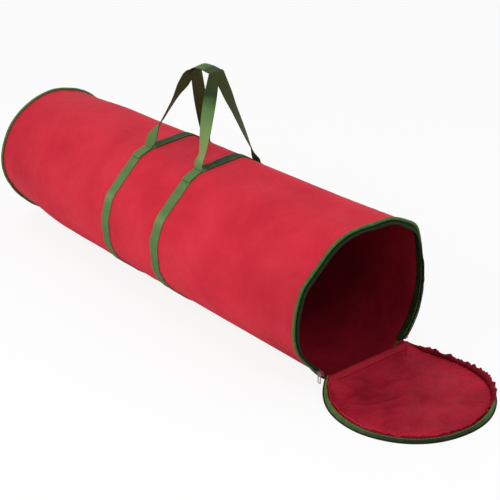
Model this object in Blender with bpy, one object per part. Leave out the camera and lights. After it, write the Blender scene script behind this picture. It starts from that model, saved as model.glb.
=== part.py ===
"""Gift wrap organizer: a long round zipped bag with two webbing handles, lying on its side with its lid open.

The bag's axis runs along +X towards the mouth and +Z is up. The origin is the middle of the flat strip of
fabric that the bag lies on. The near side is -Y and the far side is +Y. Sizes are in metres.
"""

import math

import bmesh
import bpy
from mathutils import Matrix, Vector

# The fabric tube
BAG_LENGTH = 1.016
BAG_RADIUS = 0.150
SAG_DEPTH = 0.0165
SAG_BLEND = 0.009
FABRIC = 0.0015
PRESS_RAMP = 0.012

# The gap that stands for two sewn layers touching
GAP = 0.0003

# The binding round the closed end
BINDING_WIDTH = 0.0045
BINDING_RISE = 0.0075
BINDING_PRESSED = 0.0015
BINDING_BEVEL = 0.0012

# The webbing bands and their places, measured from the closed end
WEBBING_WIDTH = 0.025
WEBBING = 0.0015
BAND_MARGIN = 0.0010
REAR_BAND_FROM_END = 0.452
FRONT_BAND_FROM_END = 0.617

# The handles: how far round from the top they leave the bands, how far they are sewn down below that, and
# the shape of the loops that stand up to the same grip. The bag lies rolled a little to its far side.
NEAR_HANDLE_ROUND = 0.0524
FAR_HANDLE_ROUND = 0.0956
HANDLE_END_LENGTH = 0.0366
HANDLE_CLEARANCE = 0.0003
GRIP_REAR_HEIGHT = 0.4308
GRIP_FRONT_HEIGHT = 0.4428
HANDLE_ARCH = 0.003
REAR_LEG_LEAN = 0.080
FRONT_LEG_LEAN = 0.004
HANDLE_FOLD = 0.012
HANDLES_APART = 0.0008
GRIP_TILT = math.radians(22)
TWIST_share = 0.6

# The piping, the zip tapes and the zip coils
PIPING_RADIUS = 0.0022
ZIP_TAPE = 0.0010
MOUTH_TAPE_TUCK = 0.006
MOUTH_TAPE_WIDTH = 0.012
LID_TAPE_WIDTH = 0.012
COIL_RADIUS = 0.0013
COILS_APART = 0.0022

# The fold that the lid turns on, and what is set back from it along the zip
FOLD_HEIGHT = 0.022
FOLD_EDGE = 0.0003
APRON_DROP = 0.0017
APRON = 0.0012
APRON_SETBACK = 0.003
APRON_CLEARANCE = 0.0006
TAPE_SETBACK = 0.005
STOP_SETBACK = 0.0095
SLIDER_SETBACK = 0.0190

# The gathered rim inside the lid
RUFFLE_WIDTH = 0.009
RUFFLE_LOW = 0.0008
RUFFLE_HIGH = 0.0030
RUFFLE_WAVE = 0.0010
RUFFLE_CLOTH = 0.0010
RUFFLE_PITCH = 0.0165

# The slider, its pull and the stops
SLIDER_LENGTH = 0.012
SLIDER_PLATE = 0.0010
SLIDER_OVERHANG = 0.0013
SLIDER_POST_CLEARANCE = 0.00045
SLIDER_INNER_CLEARANCE = 0.0005
SLIDER_OUTER_CLEARANCE = 0.0009
BAIL_LENGTH = 0.008
BAIL_RISE = 0.0036
BAIL_WALL = 0.0009
BAIL_WIDTH = 0.0016
PULL_LENGTH = 0.018
PULL_WIDTH = 0.0066
PULL_WIRE = 0.0012
PULL_HEIGHT = 0.0015
STOP_LENGTH = 0.0026
STOP_WALL = 0.0006

# How finely round things are drawn
RING_STEPS = 60
WIRE_STEPS = 8
LEG_STEPS = 18
FOLD_STEPS = 4
FOOT_STEPS = 3
GRIP_STEPS = 4
WAVE_STEPS = 4
APRON_STEPS = 14
APRON_ROWS = 3

# Places that follow from the sizes above
REAR_X = -BAG_LENGTH / 2
MOUTH_X = BAG_LENGTH / 2
CENTRE_HEIGHT = BAG_RADIUS - SAG_DEPTH
REAR_BAND_X = REAR_X + REAR_BAND_FROM_END
FRONT_BAND_X = REAR_X + FRONT_BAND_FROM_END
WEBBING_PRESSED = GAP + WEBBING
PIPING_X = MOUTH_X + GAP + PIPING_RADIUS
PIPING_GROW = PIPING_RADIUS - FABRIC
COIL_GROW = -(FABRIC + GAP + ZIP_TAPE / 2)
COIL_REACH = BAG_RADIUS + COIL_GROW
MOUTH_COIL_X = MOUTH_X + MOUTH_TAPE_WIDTH + GAP + COIL_RADIUS
LID_X = MOUTH_COIL_X + COIL_RADIUS + COILS_APART + COIL_RADIUS
FOLD = Vector((LID_X, 0, FOLD_HEIGHT))
FOLD_ANGLE = math.pi - math.acos((CENTRE_HEIGHT - FOLD_HEIGHT) / COIL_REACH)
LID_TAPE_OUTER = COIL_GROW - COIL_RADIUS - GAP
LID_TAPE_INNER = LID_TAPE_OUTER - LID_TAPE_WIDTH
LID_REACH = CENTRE_HEIGHT + COIL_REACH - FOLD_HEIGHT
LID_OPEN = math.pi / 2 + math.asin((FOLD_HEIGHT - COIL_RADIUS) / LID_REACH)
HANDLE_END_GROW = GAP + WEBBING + GAP
HANDLE_PIVOT_GROW = HANDLE_END_GROW + WEBBING + HANDLE_CLEARANCE + WEBBING / 2
NEAR_HANDLE_ANGLE = NEAR_HANDLE_ROUND / BAG_RADIUS
FAR_HANDLE_ANGLE = FAR_HANDLE_ROUND / BAG_RADIUS

# Colour, roughness and metallic value of each finish
RED_FABRIC = ((0.552, 0.027, 0.052), 0.62, 0.0)
DARK_RED_FABRIC = ((0.270, 0.010, 0.026), 0.70, 0.0)
GREEN_WEBBING = ((0.079, 0.205, 0.063), 0.75, 0.0)
GREEN_BINDING = ((0.050, 0.145, 0.050), 0.72, 0.0)
GREEN_ZIP_TAPE = ((0.028, 0.072, 0.026), 0.80, 0.0)
DARK_COIL = ((0.015, 0.032, 0.016), 0.40, 0.0)
NICKEL = ((0.610, 0.600, 0.580), 0.30, 1.0)


def clear_scene():
    """Removes the objects that a new file starts with."""
    for old in list(bpy.data.objects):
        bpy.data.objects.remove(old, do_unlink=True)


def finish(name, look):
    """A material with the colour, roughness and metallic value of one finish."""
    colour, roughness, metallic = look
    material = bpy.data.materials.new(name)
    material.use_nodes = True
    shader = material.node_tree.nodes["Principled BSDF"]
    shader.inputs["Base Color"].default_value = (*colour, 1.0)
    shader.inputs["Roughness"].default_value = roughness
    shader.inputs["Metallic"].default_value = metallic
    return material


def pivot_empty(name, place, parent=None, turn=None):
    """An empty on a joint's axis, which carries the piece that turns about it."""
    empty = bpy.data.objects.new(name, None)
    bpy.context.scene.collection.objects.link(empty)
    if parent:
        empty.parent = parent
    empty.matrix_local = Matrix.Translation(place) @ (turn or Matrix())
    return empty


def add_piece(name, points, faces, look, parent=None):
    """One named closed solid, with its faces turned outwards and its round surfaces shaded smooth."""
    mesh = bpy.data.meshes.new(name)
    built = bmesh.new()
    corners = [built.verts.new(point) for point in points]
    for face in faces:
        built.faces.new([corners[index] for index in face])
    bmesh.ops.recalc_face_normals(built, faces=built.faces)
    built.to_mesh(mesh)
    built.free()
    mesh.shade_smooth()
    mesh.set_sharp_from_angle(angle=math.radians(35))
    mesh.materials.append(finish(name, look))
    piece = bpy.data.objects.new(name, mesh)
    bpy.context.scene.collection.objects.link(piece)
    if parent:
        piece.parent = parent
    return piece


def skin(rings, closed):
    """Points and faces of a solid through rings of equally many points, joined end to end or capped."""
    count = len(rings[0])
    points = [point for ring in rings for point in ring]
    faces = []
    spans = len(rings) if closed else len(rings) - 1
    for ring in range(spans):
        following = (ring + 1) % len(rings)
        for index in range(count):
            beside = (index + 1) % count
            faces.append((ring * count + index, ring * count + beside,
                          following * count + beside, following * count + index))
    if not closed:
        faces.append(tuple(reversed(range(count))))
        faces.append(tuple((len(rings) - 1) * count + index for index in range(count)))
    return points, faces


def section_point(angle, grow, floor=0.0, lowest=0.0):
    """Where the bag's section, grown by a margin, lies at an angle from its top towards the near side.

    The section is round, and the floor presses its bottom flat with a soft corner. What is sewn on under
    the bag lifts that floor, and nothing reaches below the lowest height.
    """
    reach = BAG_RADIUS + grow
    height = CENTRE_HEIGHT + reach * math.cos(angle)
    flat = floor - grow
    corner = max(SAG_BLEND - abs(height - flat), 0) / SAG_BLEND
    height = max(height, flat) + corner ** 2 * SAG_BLEND / 4
    return -reach * math.sin(angle), max(height, lowest)


def arc_angles(first, last):
    """Evenly spaced angles of an arc, about as fine as a whole ring is."""
    steps = max(2, round(RING_STEPS * abs(last - first) / math.tau))
    return [first + (last - first) * step / steps for step in range(steps + 1)]


def ring_angles():
    """The angles of a whole ring."""
    return [math.tau * step / RING_STEPS for step in range(RING_STEPS)]


def sweep(profile, angles=None, lowest=0.0):
    """Carries a closed profile of (x, grow, floor) points round the bag's section."""
    rings = [[(x, *section_point(angle, grow, floor, lowest)) for x, grow, floor in profile]
             for angle in angles or ring_angles()]
    return skin(rings, closed=angles is None)


def rectangle(first_x, last_x, low, high, floor=0.0):
    """A rectangular profile."""
    return [(first_x, low, floor), (last_x, low, floor), (last_x, high, floor), (first_x, high, floor)]


def circle(centre_x, centre_grow, radius, steps=WIRE_STEPS):
    """A round profile."""
    turns = [math.tau * step / steps for step in range(steps)]
    return [(centre_x + radius * math.cos(turn), centre_grow + radius * math.sin(turn), 0.0) for turn in turns]


def carried(points, pivot):
    """Points measured from a pivot instead of from the origin."""
    return [tuple(Vector(point) - pivot) for point in points]


def band_presses():
    """Places along the bag, with how far what is sewn on under it lifts the fabric there."""
    places = [(REAR_X + FABRIC + GAP, BINDING_PRESSED + GAP),
              (REAR_X + BINDING_WIDTH + GAP, BINDING_PRESSED + GAP),
              (REAR_X + BINDING_WIDTH + GAP + PRESS_RAMP, 0.0)]
    reach = WEBBING_WIDTH / 2 + BAND_MARGIN
    for centre in (REAR_BAND_X, FRONT_BAND_X):
        places += [(centre - reach - PRESS_RAMP, 0.0), (centre - reach, WEBBING_PRESSED),
                   (centre + reach, WEBBING_PRESSED), (centre + reach + PRESS_RAMP, 0.0)]
    return places + [(MOUTH_X, 0.0)]


def build_tube():
    """The long wall of the bag, open at both ends."""
    outside = [(x, 0.0, press) for x, press in band_presses()]
    inside = [(x, -FABRIC, press) for x, press in reversed(band_presses())]
    add_piece("body_tube", *sweep(outside + inside), RED_FABRIC)


def build_rear_panel():
    """The round panel that closes the far end of the bag."""
    lift = BINDING_PRESSED + GAP
    rings = [[(x, *section_point(angle, 0.0, lift)) for angle in ring_angles()]
             for x in (REAR_X, REAR_X + FABRIC)]
    add_piece("rear_panel", *skin(rings, closed=False), RED_FABRIC)


def build_rear_binding():
    """The bound seam that stands up round the closed end, pressed flat where the bag lies on it."""
    lift = BINDING_PRESSED + GAP
    front_x = REAR_X + BINDING_WIDTH
    profile = [(REAR_X, GAP, lift), (front_x, GAP, lift), (front_x, BINDING_RISE - BINDING_BEVEL, lift),
               (front_x - BINDING_BEVEL, BINDING_RISE, lift), (REAR_X + BINDING_BEVEL, BINDING_RISE, lift),
               (REAR_X, BINDING_RISE - BINDING_BEVEL, lift)]
    add_piece("rear_binding", *sweep(profile), GREEN_BINDING)


def build_bands():
    """The two webbing bands that go right round the bag."""
    for name, centre in (("rear_band", REAR_BAND_X), ("front_band", FRONT_BAND_X)):
        profile = rectangle(centre - WEBBING_WIDTH / 2, centre + WEBBING_WIDTH / 2,
                            GAP, GAP + WEBBING, WEBBING_PRESSED)
        add_piece(name, *sweep(profile), GREEN_WEBBING)


def build_mouth_piping():
    """The round piping sewn along the edge of the mouth."""
    profile = circle(PIPING_X, PIPING_GROW, PIPING_RADIUS)
    add_piece("mouth_piping", *sweep(profile), GREEN_BINDING)


def zip_angles(setback):
    """The angles of an arc round the mouth that stops short of the fold at both ends."""
    end = FOLD_ANGLE - setback / COIL_REACH
    return arc_angles(end, -end)


def build_mouth_zip():
    """The mouth's half of the zip: a tape sewn inside the piping and the coil along its front edge."""
    tape = rectangle(MOUTH_X - MOUTH_TAPE_TUCK, MOUTH_X + MOUTH_TAPE_WIDTH, -(FABRIC + GAP + ZIP_TAPE),
                     -(FABRIC + GAP))
    add_piece("mouth_zip_tape", *sweep(tape, zip_angles(TAPE_SETBACK)), GREEN_ZIP_TAPE)
    coil = circle(MOUTH_COIL_X, COIL_GROW, COIL_RADIUS)
    add_piece("mouth_zip_coil", *sweep(coil, zip_angles(TAPE_SETBACK)), DARK_COIL)


def build_apron():
    """The part of the lid's round that stays sewn to the mouth, from the piping up to the fold.

    Its foot is set against the piping's inner front quarter.
    """
    seat = (PIPING_RADIUS + APRON_CLEARANCE) * math.sqrt(1 / 2)
    foot_x = PIPING_X + seat
    end = math.pi - FOLD_ANGLE - APRON_SETBACK / COIL_REACH
    columns = [end * (step / APRON_STEPS * 2 - 1) for step in range(APRON_STEPS + 1)]
    grid = []
    for turn in columns:
        side, height = section_point(math.pi - turn, PIPING_GROW - seat)
        foot = Vector((foot_x, side, height))
        top = Vector((LID_X, side, FOLD_HEIGHT - APRON_DROP))
        grid.append([foot.lerp(top, row / APRON_ROWS) for row in range(APRON_ROWS + 1)])
    add_piece("lid_apron", *thick_sheet(grid, APRON), DARK_RED_FABRIC)


def thick_sheet(grid, thickness):
    """A sheet through a grid of points, given its thickness half to each side."""
    columns, rows = len(grid), len(grid[0])

    def slope(column, row):
        """The sheet's normal at one point of the grid."""
        along = grid[min(column + 1, columns - 1)][row] - grid[max(column - 1, 0)][row]
        across = grid[column][min(row + 1, rows - 1)] - grid[column][max(row - 1, 0)]
        return along.cross(across).normalized()

    rings = []
    for column in range(columns):
        front = [grid[column][row] + slope(column, row) * thickness / 2 for row in range(rows)]
        back = [grid[column][row] - slope(column, row) * thickness / 2 for row in reversed(range(rows))]
        rings.append([tuple(point) for point in front + back])
    return skin(rings, closed=False)


def lid_angle(grow, height):
    """The angle at which a round of the lid comes down to a height."""
    return math.acos((height - CENTRE_HEIGHT) / (BAG_RADIUS + grow))


def add_lid_piece(name, solid, look, hinge):
    """A piece of the lid, drawn with the lid closed and carried by the hinge."""
    points, faces = solid
    add_piece(name, carried(points, FOLD), faces, look, hinge)


def build_lid():
    """The lid's panel, gathered rim, zip tape and coil, which turn together about the fold."""
    hinge = pivot_empty("lid_hinge", FOLD, turn=Matrix.Rotation(LID_OPEN, 4, "Y"))
    edge = FOLD_HEIGHT + FOLD_EDGE
    panel_grow = LID_TAPE_INNER - GAP
    panel_end = lid_angle(panel_grow, edge)
    panel = [[(x, *section_point(angle, panel_grow)) for angle in arc_angles(panel_end, -panel_end)]
             for x in (LID_X - FABRIC / 2, LID_X + FABRIC / 2)]
    add_lid_piece("lid_panel", skin(panel, closed=False), DARK_RED_FABRIC, hinge)

    tape_end = lid_angle(LID_TAPE_INNER, edge)
    tape = rectangle(LID_X - ZIP_TAPE / 2, LID_X + ZIP_TAPE / 2, LID_TAPE_INNER, LID_TAPE_OUTER)
    add_lid_piece("lid_zip_tape", sweep(tape, arc_angles(tape_end, -tape_end), edge), GREEN_ZIP_TAPE, hinge)

    coil_end = lid_angle(COIL_GROW, edge + COIL_RADIUS)
    coil = circle(LID_X, COIL_GROW, COIL_RADIUS)
    add_lid_piece("lid_zip_coil", sweep(coil, arc_angles(coil_end, -coil_end), edge), DARK_COIL, hinge)

    add_lid_piece("lid_gathered_rim", gathered_rim(panel_grow), RED_FABRIC, hinge)


def gathered_rim(panel_grow):
    """The seam allowance inside the lid, gathered into small waves that stand up towards its free edge."""
    inner_grow = panel_grow - RUFFLE_WIDTH
    rim_end = lid_angle(inner_grow, FOLD_HEIGHT + RUFFLE_HIGH + RUFFLE_WAVE + RUFFLE_CLOTH)
    rim_end -= STOP_SETBACK / COIL_REACH
    waves = round((BAG_RADIUS + panel_grow) * rim_end / RUFFLE_PITCH) * 2
    steps = waves * WAVE_STEPS
    face_x = LID_X - FABRIC / 2 - GAP
    rings = []
    for step in range(steps + 1):
        angle = rim_end - rim_end * 2 * step / steps
        wave = math.sin(math.tau * step / WAVE_STEPS / 2) * RUFFLE_WAVE
        low_x = face_x - RUFFLE_LOW
        high_x = face_x - RUFFLE_HIGH - wave
        profile = [(face_x, inner_grow), (low_x, inner_grow), (high_x, panel_grow),
                   (high_x + RUFFLE_CLOTH, panel_grow)]
        rings.append([(x, *section_point(angle, grow)) for x, grow in profile])
    return skin(rings, closed=False)


def around(angle):
    """The turn that carries what is drawn at the top of the mouth round to an angle towards the near side."""
    centre = Matrix.Translation((0, 0, CENTRE_HEIGHT))
    return centre @ Matrix.Rotation(angle, 4, "X") @ centre.inverted()


def build_stops():
    """The two metal stops clamped on the mouth's coil, one at each end of the slider's way."""
    inner = COIL_RADIUS + GAP
    outer = inner + STOP_WALL
    back_x = MOUTH_COIL_X - COIL_RADIUS
    outline = [(back_x, outer), (MOUTH_COIL_X + outer, outer), (MOUTH_COIL_X + outer, -outer), (back_x, -outer),
               (back_x, -inner), (MOUTH_COIL_X + inner, -inner), (MOUTH_COIL_X + inner, inner), (back_x, inner)]
    end = FOLD_ANGLE - STOP_SETBACK / COIL_REACH
    for name, angle in (("zip_near_stop", end), ("zip_far_stop", -end)):
        turn = around(angle)
        centre_z = CENTRE_HEIGHT + COIL_REACH
        rings = [[turn @ Vector((x, side, centre_z + rise)) for x, rise in outline]
                 for side in (-STOP_LENGTH / 2, STOP_LENGTH / 2)]
        points, faces = skin(rings, closed=False)
        add_piece(name, [tuple(point) for point in points], faces, NICKEL)


def slider_rise():
    """Height of the slider's outer face above the middle of the coil."""
    return COIL_RADIUS + SLIDER_OUTER_CLEARANCE + SLIDER_PLATE


def slider_body():
    """The slider's two plates and the post between the coils, one solid carried along the zip."""
    back_x = MOUTH_COIL_X - COIL_RADIUS - SLIDER_OVERHANG
    front_x = LID_X + COIL_RADIUS + SLIDER_OVERHANG
    post_back = MOUTH_COIL_X + COIL_RADIUS + SLIDER_POST_CLEARANCE
    post_front = LID_X - COIL_RADIUS - SLIDER_POST_CLEARANCE
    top = slider_rise()
    under_top = top - SLIDER_PLATE
    over_low = -(COIL_RADIUS + SLIDER_INNER_CLEARANCE)
    low = over_low - SLIDER_PLATE
    outline = [(back_x, top), (front_x, top), (front_x, under_top), (post_front, under_top), (post_front, low),
               (back_x, low), (back_x, over_low), (post_back, over_low), (post_back, under_top),
               (back_x, under_top)]
    rings = [[(x, side, rise) for x, rise in outline] for side in (-SLIDER_LENGTH / 2, SLIDER_LENGTH / 2)]
    return skin(rings, closed=False)


def slider_bail():
    """The arch on the slider that holds its pull."""
    middle_x = (MOUTH_COIL_X + LID_X) / 2
    half = BAIL_LENGTH / 2
    base = slider_rise() - SLIDER_PLATE / 2
    top = slider_rise() + BAIL_RISE
    outline = [(-half, base), (-half, top), (half, top), (half, base), (half - BAIL_WALL, base),
               (half - BAIL_WALL, top - BAIL_WALL), (BAIL_WALL - half, top - BAIL_WALL), (BAIL_WALL - half, base)]
    rings = [[(x, side, rise) for side, rise in outline]
             for x in (middle_x - BAIL_WIDTH / 2, middle_x + BAIL_WIDTH / 2)]
    return skin(rings, closed=False)


def build_slider():
    """The slider at the near end of the zip, with its wire pull hanging straight down from the bail."""
    angle = FOLD_ANGLE - SLIDER_SETBACK / COIL_REACH
    track = pivot_empty("slider_track", Vector((0, 0, CENTRE_HEIGHT)), turn=Matrix.Rotation(angle, 4, "X"))
    slider = add_piece("zip_slider", *lifted(slider_body(), COIL_REACH), NICKEL, track)
    bail = add_piece("slider_bail_guide", *lifted(slider_bail(), COIL_REACH), NICKEL, track)
    bail.hide_render = True
    bail.display_type = "WIRE"
    union = slider.modifiers.new("bail", "BOOLEAN")
    union.operation = "UNION"
    union.solver = "EXACT"
    union.object = bail

    axle = Vector(((MOUTH_COIL_X + LID_X) / 2, 0, COIL_REACH + slider_rise() + PULL_HEIGHT))
    hang = pivot_empty("pull_axle", axle, track, Matrix.Rotation(math.pi - angle, 4, "X"))
    add_piece("zip_pull", *pull_loop(), NICKEL, hang)


def lifted(solid, rise):
    """A solid moved up."""
    points, faces = solid
    return [(x, y, z + rise) for x, y, z in points], faces


def pull_loop():
    """The wire loop, drawn standing up from its axle."""
    half = PULL_WIDTH / 2
    wire = PULL_WIRE / 2
    corners = [(-half, -wire), (half, -wire), (half, PULL_LENGTH - wire), (-half, PULL_LENGTH - wire)]
    inner = [(PULL_WIRE - half, wire), (half - PULL_WIRE, wire),
             (half - PULL_WIRE, PULL_LENGTH - wire - PULL_WIRE), (PULL_WIRE - half, PULL_LENGTH - wire - PULL_WIRE)]
    rings = [[(outer_x, -wire, outer_z), (outer_x, wire, outer_z), (inner_x, wire, inner_z),
              (inner_x, -wire, inner_z)]
             for (outer_x, outer_z), (inner_x, inner_z) in zip(corners, inner)]
    return skin(rings, closed=True)


def build_handle_ends():
    """The ends of the handle webbing, sewn flat on the bands."""
    sewn = HANDLE_END_LENGTH / BAG_RADIUS
    for place, centre in (("rear", REAR_BAND_X), ("front", FRONT_BAND_X)):
        profile = rectangle(centre - WEBBING_WIDTH / 2, centre + WEBBING_WIDTH / 2,
                            HANDLE_END_GROW, HANDLE_END_GROW + WEBBING)
        near = arc_angles(NEAR_HANDLE_ANGLE + sewn, NEAR_HANDLE_ANGLE)
        far = arc_angles(-FAR_HANDLE_ANGLE, -FAR_HANDLE_ANGLE - sewn)
        add_piece("near_handle_" + place + "_end", *sweep(profile, near), GREEN_WEBBING)
        add_piece("far_handle_" + place + "_end", *sweep(profile, far), GREEN_WEBBING)


def handle_route(pivot):
    """Middle line of a handle from its rear end to its front end, drawn for the near side, with its twist.

    Each leg rises from the pivot and twists a quarter turn, and the grip runs level between two sharp folds.
    """
    grip_y = -(HANDLES_APART + WEBBING_WIDTH / 2 * math.cos(GRIP_TILT))
    rear_foot = Vector((REAR_BAND_X, pivot.y, pivot.z))
    front_foot = Vector((FRONT_BAND_X, pivot.y, pivot.z))
    rear_fold = Vector((REAR_BAND_X + REAR_LEG_LEAN, grip_y, GRIP_REAR_HEIGHT))
    front_fold = Vector((FRONT_BAND_X - FRONT_LEG_LEAN, grip_y, GRIP_FRONT_HEIGHT))
    rear = leg_and_fold(rear_foot, rear_fold, front_fold)
    front = leg_and_fold(front_foot, front_fold, rear_fold)
    start, end = rear[-1][0], front[-1][0]
    grip = []
    for step in range(1, GRIP_STEPS):
        place = start.lerp(end, step / GRIP_STEPS)
        place.z += HANDLE_ARCH * math.sin(math.pi * step / GRIP_STEPS)
        grip.append((place, 1.0))
    rear = [(place, twist, 1) for place, twist in rear + grip]
    front = [(place, twist, -1) for place, twist in reversed(front)]
    return rear + front


def eased(share):
    """A share that starts and ends gently."""
    return share * share * (3 - 2 * share)


def leg_and_fold(foot, fold, beyond):
    """One leg and half of the grip's fold: places with the share of the twist reached there."""
    rise = fold - foot
    before = fold - rise.normalized() * HANDLE_FOLD
    after = fold + (beyond - fold).normalized() * HANDLE_FOLD
    route = []
    for step in range(LEG_STEPS):
        share = step / LEG_STEPS
        route.append((foot.lerp(before, share), eased(min(share / TWIST_share, 1.0))))
    for step in range(FOLD_STEPS + 1):
        share = step / FOLD_STEPS
        place = before.lerp(fold, share).lerp(fold.lerp(after, share), share)
        route.append((place, 1.0))
    return route


def webbing_rings(route):
    """Cross sections of flat webbing along a route, turned by the twist at each place.

    They are square to the route, except at its two ends, which lie along the fold that they turn on and are
    rounded about it.
    """
    grip_across = Vector((0, -math.cos(GRIP_TILT), -math.sin(GRIP_TILT)))
    rings = []
    for index, (place, twist, way) in enumerate(route):
        along = (route[min(index + 1, len(route) - 1)][0] - route[max(index - 1, 0)][0]).normalized()
        turn = twist * math.pi / 2
        across = Vector((way, 0, 0)) * math.cos(turn) + grip_across * math.sin(turn)
        if 0 < index < len(route) - 1:
            across = (across - along * across.dot(along)).normalized()
        outward = across.cross(along).normalized()
        half, thick = across * WEBBING_WIDTH / 2, outward * WEBBING / 2
        ring = [(place, half, thick)]
        if index in (0, len(route) - 1):
            ring = rounded_foot(place, half, thick, along if index else -along)
        rings += [[middle - half - thick, middle + half - thick, middle + half + thick, middle - half + thick]
                  for middle, half, thick in (ring if index else reversed(ring))]
    return rings


def ribbon(rings):
    """Points and faces of webbing through its cross sections, whose two sides are split along like diagonals.

    Where the webbing twists, unlike diagonals would make its two sides meet.
    """
    points, faces = skin(rings, closed=False)
    count = len(rings[0])
    split = []
    for face in faces:
        side = face[0] % count
        is_cap = face[0] // count == face[2] // count
        if is_cap or side % 2:
            split.append(face)
        elif side:
            split += [(face[0], face[1], face[3]), (face[1], face[2], face[3])]
        else:
            split += [(face[0], face[1], face[2]), (face[0], face[2], face[3])]
    return points, split


def rounded_foot(place, half, thick, beyond):
    """Sections that round the end of the webbing about the line it folds on."""
    turns = [math.pi / 2 * step / (FOOT_STEPS + 1) for step in range(FOOT_STEPS + 1)]
    return [(place + beyond * thick.length * math.sin(turn), half, thick * math.cos(turn)) for turn in turns]


def build_handles():
    """The two webbing loops, standing up and leaning together, each carried by the line it folds on."""
    reach = BAG_RADIUS + HANDLE_PIVOT_GROW
    for name, side, angle in (("near_handle", 1, NEAR_HANDLE_ANGLE), ("far_handle", -1, FAR_HANDLE_ANGLE)):
        pivot = Vector((0, -reach * math.sin(angle), CENTRE_HEIGHT + reach * math.cos(angle)))
        rings = webbing_rings(handle_route(pivot))
        place = Vector((pivot.x, pivot.y * side, pivot.z))
        hinge = pivot_empty(name + "_fold", place)
        points, faces = ribbon([[(p.x, p.y * side, p.z) for p in ring] for ring in rings])
        add_piece(name, carried(points, place), faces, GREEN_WEBBING, hinge)


def main():
    """Builds every piece of the organizer."""
    clear_scene()
    build_tube()
    build_rear_panel()
    build_rear_binding()
    build_bands()
    build_mouth_piping()
    build_mouth_zip()
    build_stops()
    build_apron()
    build_lid()
    build_slider()
    build_handle_ends()
    build_handles()


main()
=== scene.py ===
"""The looks of the gift wrap organizer: cloth, webbing, binding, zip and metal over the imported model.

The bag's axis runs along +X towards its mouth, +Z is up and -Y is the nearer side. Sizes are in metres, and
angles round the bag are measured from its top towards the nearer side.
"""

import logging
import math
from dataclasses import dataclass, field
from enum import Enum
from typing import Any, Optional, Sequence

import bpy
import numpy as np
from mathutils import Matrix, Vector, noise


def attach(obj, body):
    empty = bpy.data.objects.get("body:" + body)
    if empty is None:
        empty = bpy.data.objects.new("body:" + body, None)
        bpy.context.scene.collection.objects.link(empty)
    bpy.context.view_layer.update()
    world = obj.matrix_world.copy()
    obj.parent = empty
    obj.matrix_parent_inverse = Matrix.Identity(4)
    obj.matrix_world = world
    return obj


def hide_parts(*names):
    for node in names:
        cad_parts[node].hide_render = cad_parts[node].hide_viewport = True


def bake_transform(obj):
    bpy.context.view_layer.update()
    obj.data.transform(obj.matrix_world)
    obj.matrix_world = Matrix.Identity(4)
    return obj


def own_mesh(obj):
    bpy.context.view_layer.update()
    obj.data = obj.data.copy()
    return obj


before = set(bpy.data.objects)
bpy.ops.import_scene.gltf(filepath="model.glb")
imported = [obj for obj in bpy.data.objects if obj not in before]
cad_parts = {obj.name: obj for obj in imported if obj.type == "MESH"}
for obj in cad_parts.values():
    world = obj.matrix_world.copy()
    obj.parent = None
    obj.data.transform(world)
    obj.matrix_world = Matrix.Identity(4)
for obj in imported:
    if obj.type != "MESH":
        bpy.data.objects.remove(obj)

LOG = logging.getLogger("organizer")

Array = np.ndarray
Object = bpy.types.Object
Material = bpy.types.Material
NodeTree = bpy.types.NodeTree
Socket = bpy.types.NodeSocket
Place = tuple[float, float, float]
Table = tuple[tuple[float, float], ...]


class Side(Enum):
    """The two sides of the bag, as the sign of the angle from its top."""

    NEAR = 1
    FAR = -1


class Body(str, Enum):
    """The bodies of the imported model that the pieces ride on."""

    BAG = "bag"
    LID = "lid"
    NEAR_LOOP = "near_loop"
    FAR_LOOP = "far_loop"


@dataclass(frozen=True)
class Sizes:
    """Sizes that several pieces share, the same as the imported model's."""

    length: float = 1.016
    radius: float = 0.150
    sag: float = 0.0165
    press_blend: float = 0.009
    press_ramp: float = 0.012
    fabric: float = 0.0015
    gap: float = 0.0003
    webbing_width: float = 0.025
    webbing: float = 0.0015
    rear_band_from_end: float = 0.452
    front_band_from_end: float = 0.617
    piping_radius: float = 0.0022
    zip_tape: float = 0.0010
    coil_radius: float = 0.0013
    coils_apart: float = 0.0022
    mouth_tape_width: float = 0.012
    mouth_tape_tuck: float = 0.006
    fold_height: float = 0.022

    @property
    def centre(self) -> float:
        """Height of the bag's axis."""
        return self.radius - self.sag

    @property
    def rear_x(self) -> float:
        """Where the closed end is."""
        return -self.length / 2

    @property
    def mouth_x(self) -> float:
        """Where the cloth of the tube ends at the mouth."""
        return self.length / 2

    @property
    def rear_band_x(self) -> float:
        """Middle of the band nearer the closed end."""
        return self.rear_x + self.rear_band_from_end

    @property
    def front_band_x(self) -> float:
        """Middle of the band nearer the mouth."""
        return self.rear_x + self.front_band_from_end

    @property
    def coil_grow(self) -> float:
        """How far the zip coils lie outside the bag's skin, a negative number because they lie inside it."""
        return -(self.fabric + self.gap + self.zip_tape / 2)

    @property
    def coil_reach(self) -> float:
        """Distance of the zip coils from the bag's axis."""
        return self.radius + self.coil_grow

    @property
    def mouth_coil_x(self) -> float:
        """Where the mouth's coil is along the bag."""
        return self.mouth_x + self.mouth_tape_width + self.gap + self.coil_radius

    @property
    def lid_x(self) -> float:
        """Where the lid is along the bag when it is closed."""
        return self.mouth_coil_x + self.coil_radius * 2 + self.coils_apart

    @property
    def fold_angle(self) -> float:
        """The angle round the bag at which the zip reaches the fold."""
        return math.pi - math.acos((self.centre - self.fold_height) / self.coil_reach)

    @property
    def lid_open(self) -> float:
        """How far the open lid has turned from its closed place."""
        reach = self.centre + self.coil_reach - self.fold_height
        return math.pi / 2 + math.asin((self.fold_height - self.coil_radius) / reach)


SIZES = Sizes()


# Colour and node helpers

def linear(code: str) -> tuple[float, float, float, float]:
    """Turns an sRGB hex colour such as #C8283C to linear values with full alpha."""
    parts = [int(code[place:place + 2], 16) / 255 for place in (1, 3, 5)]
    red, green, blue = (part / 12.92 if part <= 0.04045 else ((part + 0.055) / 1.055) ** 2.4 for part in parts)
    return red, green, blue, 1.0


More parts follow.
